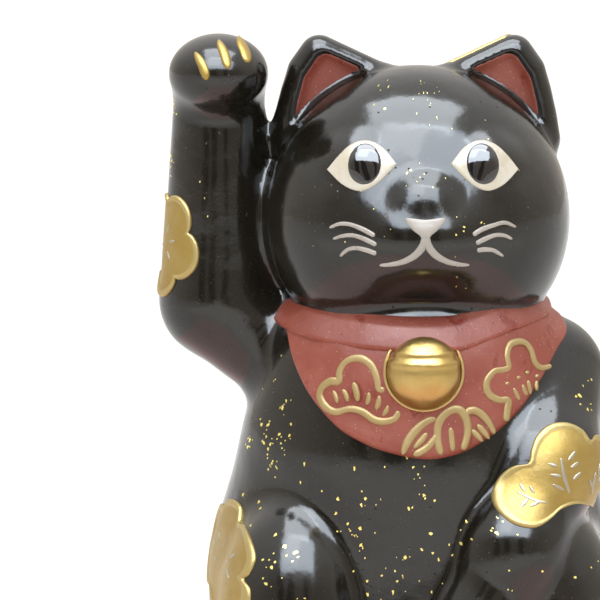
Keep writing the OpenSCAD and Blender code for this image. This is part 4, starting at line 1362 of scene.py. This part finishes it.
def clay_group():
    """Unglazed fired clay: sandy grain, darker scorch and a few grit holes."""
    graph, given, result, place = new_group(
        "Bare clay", [("Clay", "Color", (0.42, 0.31, 0.2, 1)), ("Scorch", "Color", (0.22, 0.13, 0.07, 1))])
    cloud = graph.ramp(graph.noise(place, 0.06, 5, 0.6), 0.4, 0.75)
    tone = graph.mix(graph.times(cloud, 0.7), given["Clay"], given["Scorch"])
    sand = graph.noise(place, 2.2, 4, 0.7)
    tone = graph.mix(graph.times(graph.ramp(sand, 0.5, 0.8), 0.4), tone, (0.6, 0.5, 0.38, 1))
    grit = graph.ramp(graph.cells(place, 0.5).outputs["Distance"], 0.16, 0.06)
    height = graph.minus(graph.times(sand, 0.05), graph.times(grit, 0.1))
    return give(graph, result, tone, graph.plus(0.8, graph.times(sand, 0.15)), graph.bump(height))


def finish(name, group, settings, shader):
    """A material whose look comes from one group. settings set the group, shader the Principled node."""
    material = bpy.data.materials.new(name)
    material.use_nodes = True
    tree = material.node_tree
    principled = tree.nodes["Principled BSDF"]
    effect = tree.nodes.new("ShaderNodeGroup")
    effect.node_tree = group
    effect.location = (-360, 200)
    for key, value in settings.items():
        effect.inputs[key].default_value = value
    for given, taken in (("Color", "Base Color"), ("Roughness", "Roughness"), ("Normal", "Normal")):
        tree.links.new(effect.outputs[given], principled.inputs[taken])
    for key, value in shader.items():
        principled.inputs[key].default_value = value
    return material


def make_finishes():
    glaze, enamel, gold, clay = glaze_group(), enamel_group(), gilding_group(), clay_group()
    looks = {
        "black_glaze": (glaze, {
            "Tone": (0.014, 0.012, 0.0085, 1), "Pool tone": (0.009, 0.0078, 0.005, 1),
            "Speck tone": (0.14, 0.105, 0.06, 1), "Speck share": 0.75, "Ripple": 0.09, "Gloss": 0.15},
            {"IOR": 1.5}),
        "bare_clay": (clay, {}, {}),
        "red_enamel": (enamel, {
            "Tone": (0.27, 0.052, 0.027, 1), "Thin tone": (0.21, 0.022, 0.006, 1),
            "Pale tone": (0.33, 0.082, 0.050, 1), "Satin": 0.42, "Painted glint amount": 0.8},
            {"IOR": 1.45, "Coat Weight": 0.08, "Coat Roughness": 0.2}),
        "white_enamel": (enamel, {
            "Tone": (0.66, 0.6, 0.46, 1), "Thin tone": (0.5, 0.4, 0.24, 1), "Pale tone": (0.74, 0.7, 0.6, 1),
            "Streaks": 0.25, "Painted glint amount": 0.1, "Satin": 0.22}, {"Coat Weight": 0.3, "Coat Roughness": 0.08}),
        "face_line": (enamel, {
            "Tone": (0.40, 0.37, 0.33, 1), "Thin tone": (0.3, 0.24, 0.18, 1), "Pale tone": (0.5, 0.45, 0.4, 1),
            "Streaks": 0.4, "Painted glint amount": 0.15, "Satin": 0.35}, {}),
        "pupil_glaze": (glaze, {
            "Tone": (0.012, 0.010, 0.010, 1), "Pool tone": (0.006, 0.005, 0.005, 1), "Speck share": 0.2,
            "Ripple": 0.012, "Pinhole depth": 0.0, "Gloss": 0.03}, {"IOR": 1.6, "Coat Weight": 0.6}),
        "gilding": (gold, {
            "Gold": (0.33, 0.215, 0.045, 1), "Rim gold": (0.42, 0.32, 0.12, 1), "Burnish": 0.38},
            {"Metallic": 0.6}),
        "bell_gold": (gold, {
            "Gold": (0.40, 0.27, 0.085, 1), "Rim gold": (0.5, 0.37, 0.15, 1), "Burnish": 0.3, "Wear": 0.6},
            {"Metallic": 1.0}),
        "gold_line": (gold, {
            "Gold": (0.36, 0.25, 0.095, 1), "Rim gold": (0.44, 0.33, 0.15, 1), "Wear": 0.45, "Burnish": 0.45},
            {"Metallic": 0.3}),
        "gold_leaf": (gold, {
            "Gold": (0.95, 0.78, 0.2, 1), "Rim gold": (1.0, 0.9, 0.4, 1), "Wear": 0.1, "Burnish": 0.3},
            {"Metallic": 0.7}),
    }
    return {name: finish(name, *look) for name, look in looks.items()}


# ---------------------------------------------------------------- the room

CEILING_GLOW = (1.5, 1.5, 1.5, 1)
HORIZON_GLOW = (0.84, 0.77, 0.68, 1)
FRONT_GLOW = (0.5, 0.44, 0.38, 1)
SCREEN_TONE = (0.05, 0.05, 0.05, 1)
DARK_SCREENS = ((-0.62, -0.46), (-0.34, -0.12), (0.2, 0.34))  # left to right, as shares of a unit way
# Name, place, what it faces, size, radiance, colour and whether it also lights matt surfaces
LAMPS = (
    ("key", (-0.25, -0.7, 1.2), (0, 0, 0.14), (0.6, 0.6), 2.6, (1.0, 0.98, 0.95), True),
    ("window", (-0.02, -0.60, 0.84), (0, 0, 0.16), (1.15, 0.6), 10.0, (0.78, 0.88, 1.0), False),
    ("overhead", (-0.02, -0.12, 1.1), (0, 0, 0.16), (0.9, 0.62), 9.0, (0.85, 0.92, 1.0), False),
    ("front_low", (0, -0.62, 0.004), (0, -0.62, 1), (1.3, 0.8), 0.3, (1.0, 0.9, 0.8), False),
    ("red_under", (0, -0.03, 0.002), (0, -0.03, 1), (0.32, 0.30), 0.45, (1.0, 0.07, 0.035), False),
)


def make_floor_and_lights():
    bpy.ops.mesh.primitive_grid_add(x_subdivisions=12, y_subdivisions=12, size=60)
    floor = bpy.context.object
    floor.name = "table_top"
    material = bpy.data.materials.new("pale_table")
    material.use_nodes = True
    tree = material.node_tree
    graph = Graph(tree)
    place = graph.node("ShaderNodeTexCoord").outputs["Object"]
    faint = graph.mix(graph.noise(place, 30, 3), (0.86, 0.86, 0.86, 1), (0.9, 0.9, 0.9, 1))
    tree.links.new(faint, tree.nodes["Principled BSDF"].inputs["Base Color"])
    tree.nodes["Principled BSDF"].inputs["Roughness"].default_value = 0.9
    floor.data.materials.append(material)

    world = bpy.data.worlds.new("studio")
    bpy.context.scene.world = world
    world.use_nodes = True
    tree = world.node_tree
    graph = Graph(tree)
    way = graph.node("ShaderNodeTexCoord").outputs["Generated"]
    x, y, z = graph.node("ShaderNodeSeparateXYZ", {"Vector": way}).outputs
    front = graph.ramp(y, -0.1, -0.75)
    dark = graph.times(front, graph.ramp(z, 0.62, 0.45))
    screens = None
    for left, right in DARK_SCREENS:
        band = graph.times(graph.ramp(x, left - 0.02, left), graph.ramp(x, right + 0.02, right))
        screens = band if screens is None else graph.math("MAXIMUM", screens, band)
    dark = graph.times(dark, screens)
    light = graph.mix(graph.ramp(z, 0.0, 0.9), HORIZON_GLOW, CEILING_GLOW)
    low_front = graph.times(front, graph.ramp(z, 0.7, 0.3))
    light = graph.mix(graph.times(low_front, 0.85), light, FRONT_GLOW)
    sky = graph.mix(graph.times(dark, 0.93), light, SCREEN_TONE)
    tree.links.new(sky, tree.nodes["Background"].inputs["Color"])
    tree.nodes["Background"].inputs["Strength"].default_value = 1.0

    for name, at, aim, size, radiance, color, on_matt in LAMPS:
        data = bpy.data.lights.new(name, "AREA")
        data.shape = "RECTANGLE"
        data.size, data.size_y = size
        data.energy = radiance * size[0] * size[1] * math.pi
        data.color = color
        lamp = bpy.data.objects.new(name, data)
        lamp.location = at
        lamp.rotation_euler = (Vector(at) - Vector(aim)).to_track_quat("Z", "Y").to_euler()
        lamp.visible_camera = False
        lamp.visible_diffuse = on_matt
        bpy.context.collection.objects.link(lamp)


def main():
    make_camera()
    finishes = make_finishes()
    castings = make_castings()
    parts = [(piece, node, "black_glaze") for node, piece in castings.items()]
    parts.append((make_floor(), "base_slab", "bare_clay"))
    parts.append((make_bib(), "bib", "red_enamel"))
    parts.append((make_collar(), "bib_collar", "red_enamel"))
    parts.append((make_bell(), "bell", "gilding", "bell_gold"))
    eyes = make_eyes()
    for (_, hand), white, pupil in zip(HANDS, eyes[::2], eyes[1::2]):
        parts.append((white, "eye_white_" + hand, "white_enamel"))
        parts.append((pupil, "pupil_" + hand, "pupil_glaze"))
    parts.append((make_nose_and_mouth(), "nose_and_mouth", "white_enamel", "face_line"))
    for (_, hand), piece in zip(HANDS, make_whiskers()):
        parts.append((piece, "whiskers_" + hand, "white_enamel", "face_line"))
    for (_, hand), piece in zip(HANDS, make_ear_linings()):
        parts.append((piece, "ear_lining_" + hand, "red_enamel"))
    for node, piece in zip(("claws_raised_paw", "claws_lowered_paw", "claws_hind_paws"), make_claws()):
        parts.append((piece, node, "gilding"))
    for node, make, slot in (
            ("gold_patch_foreleg", make_foreleg_patch, "gilding"), ("gold_patch_flank", make_flank_patch, "gilding"),
            ("gold_patch_haunch", make_haunch_patch, "gilding"), ("gold_patch_back", make_back_patch, "gilding"),
            ("gold_patch_ear", make_ear_gilding, "gilding"), ("bib_pine", make_bib_pine, "gold_line"),
            ("bib_bamboo", make_bib_bamboo, "gold_line"), ("bib_plum", make_bib_plum, "gold_line"),
            ("gold_flakes", make_flakes, "gold_leaf")):
        parts.append((make(), node, slot))
    for piece, node, slot, *look in parts:
        piece.data.materials.append(finishes[look[0] if look else slot])
        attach(piece, "root")
        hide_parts(node)
    make_floor_and_lights()
    bpy.context.scene.view_settings.view_transform = "Standard"


main()
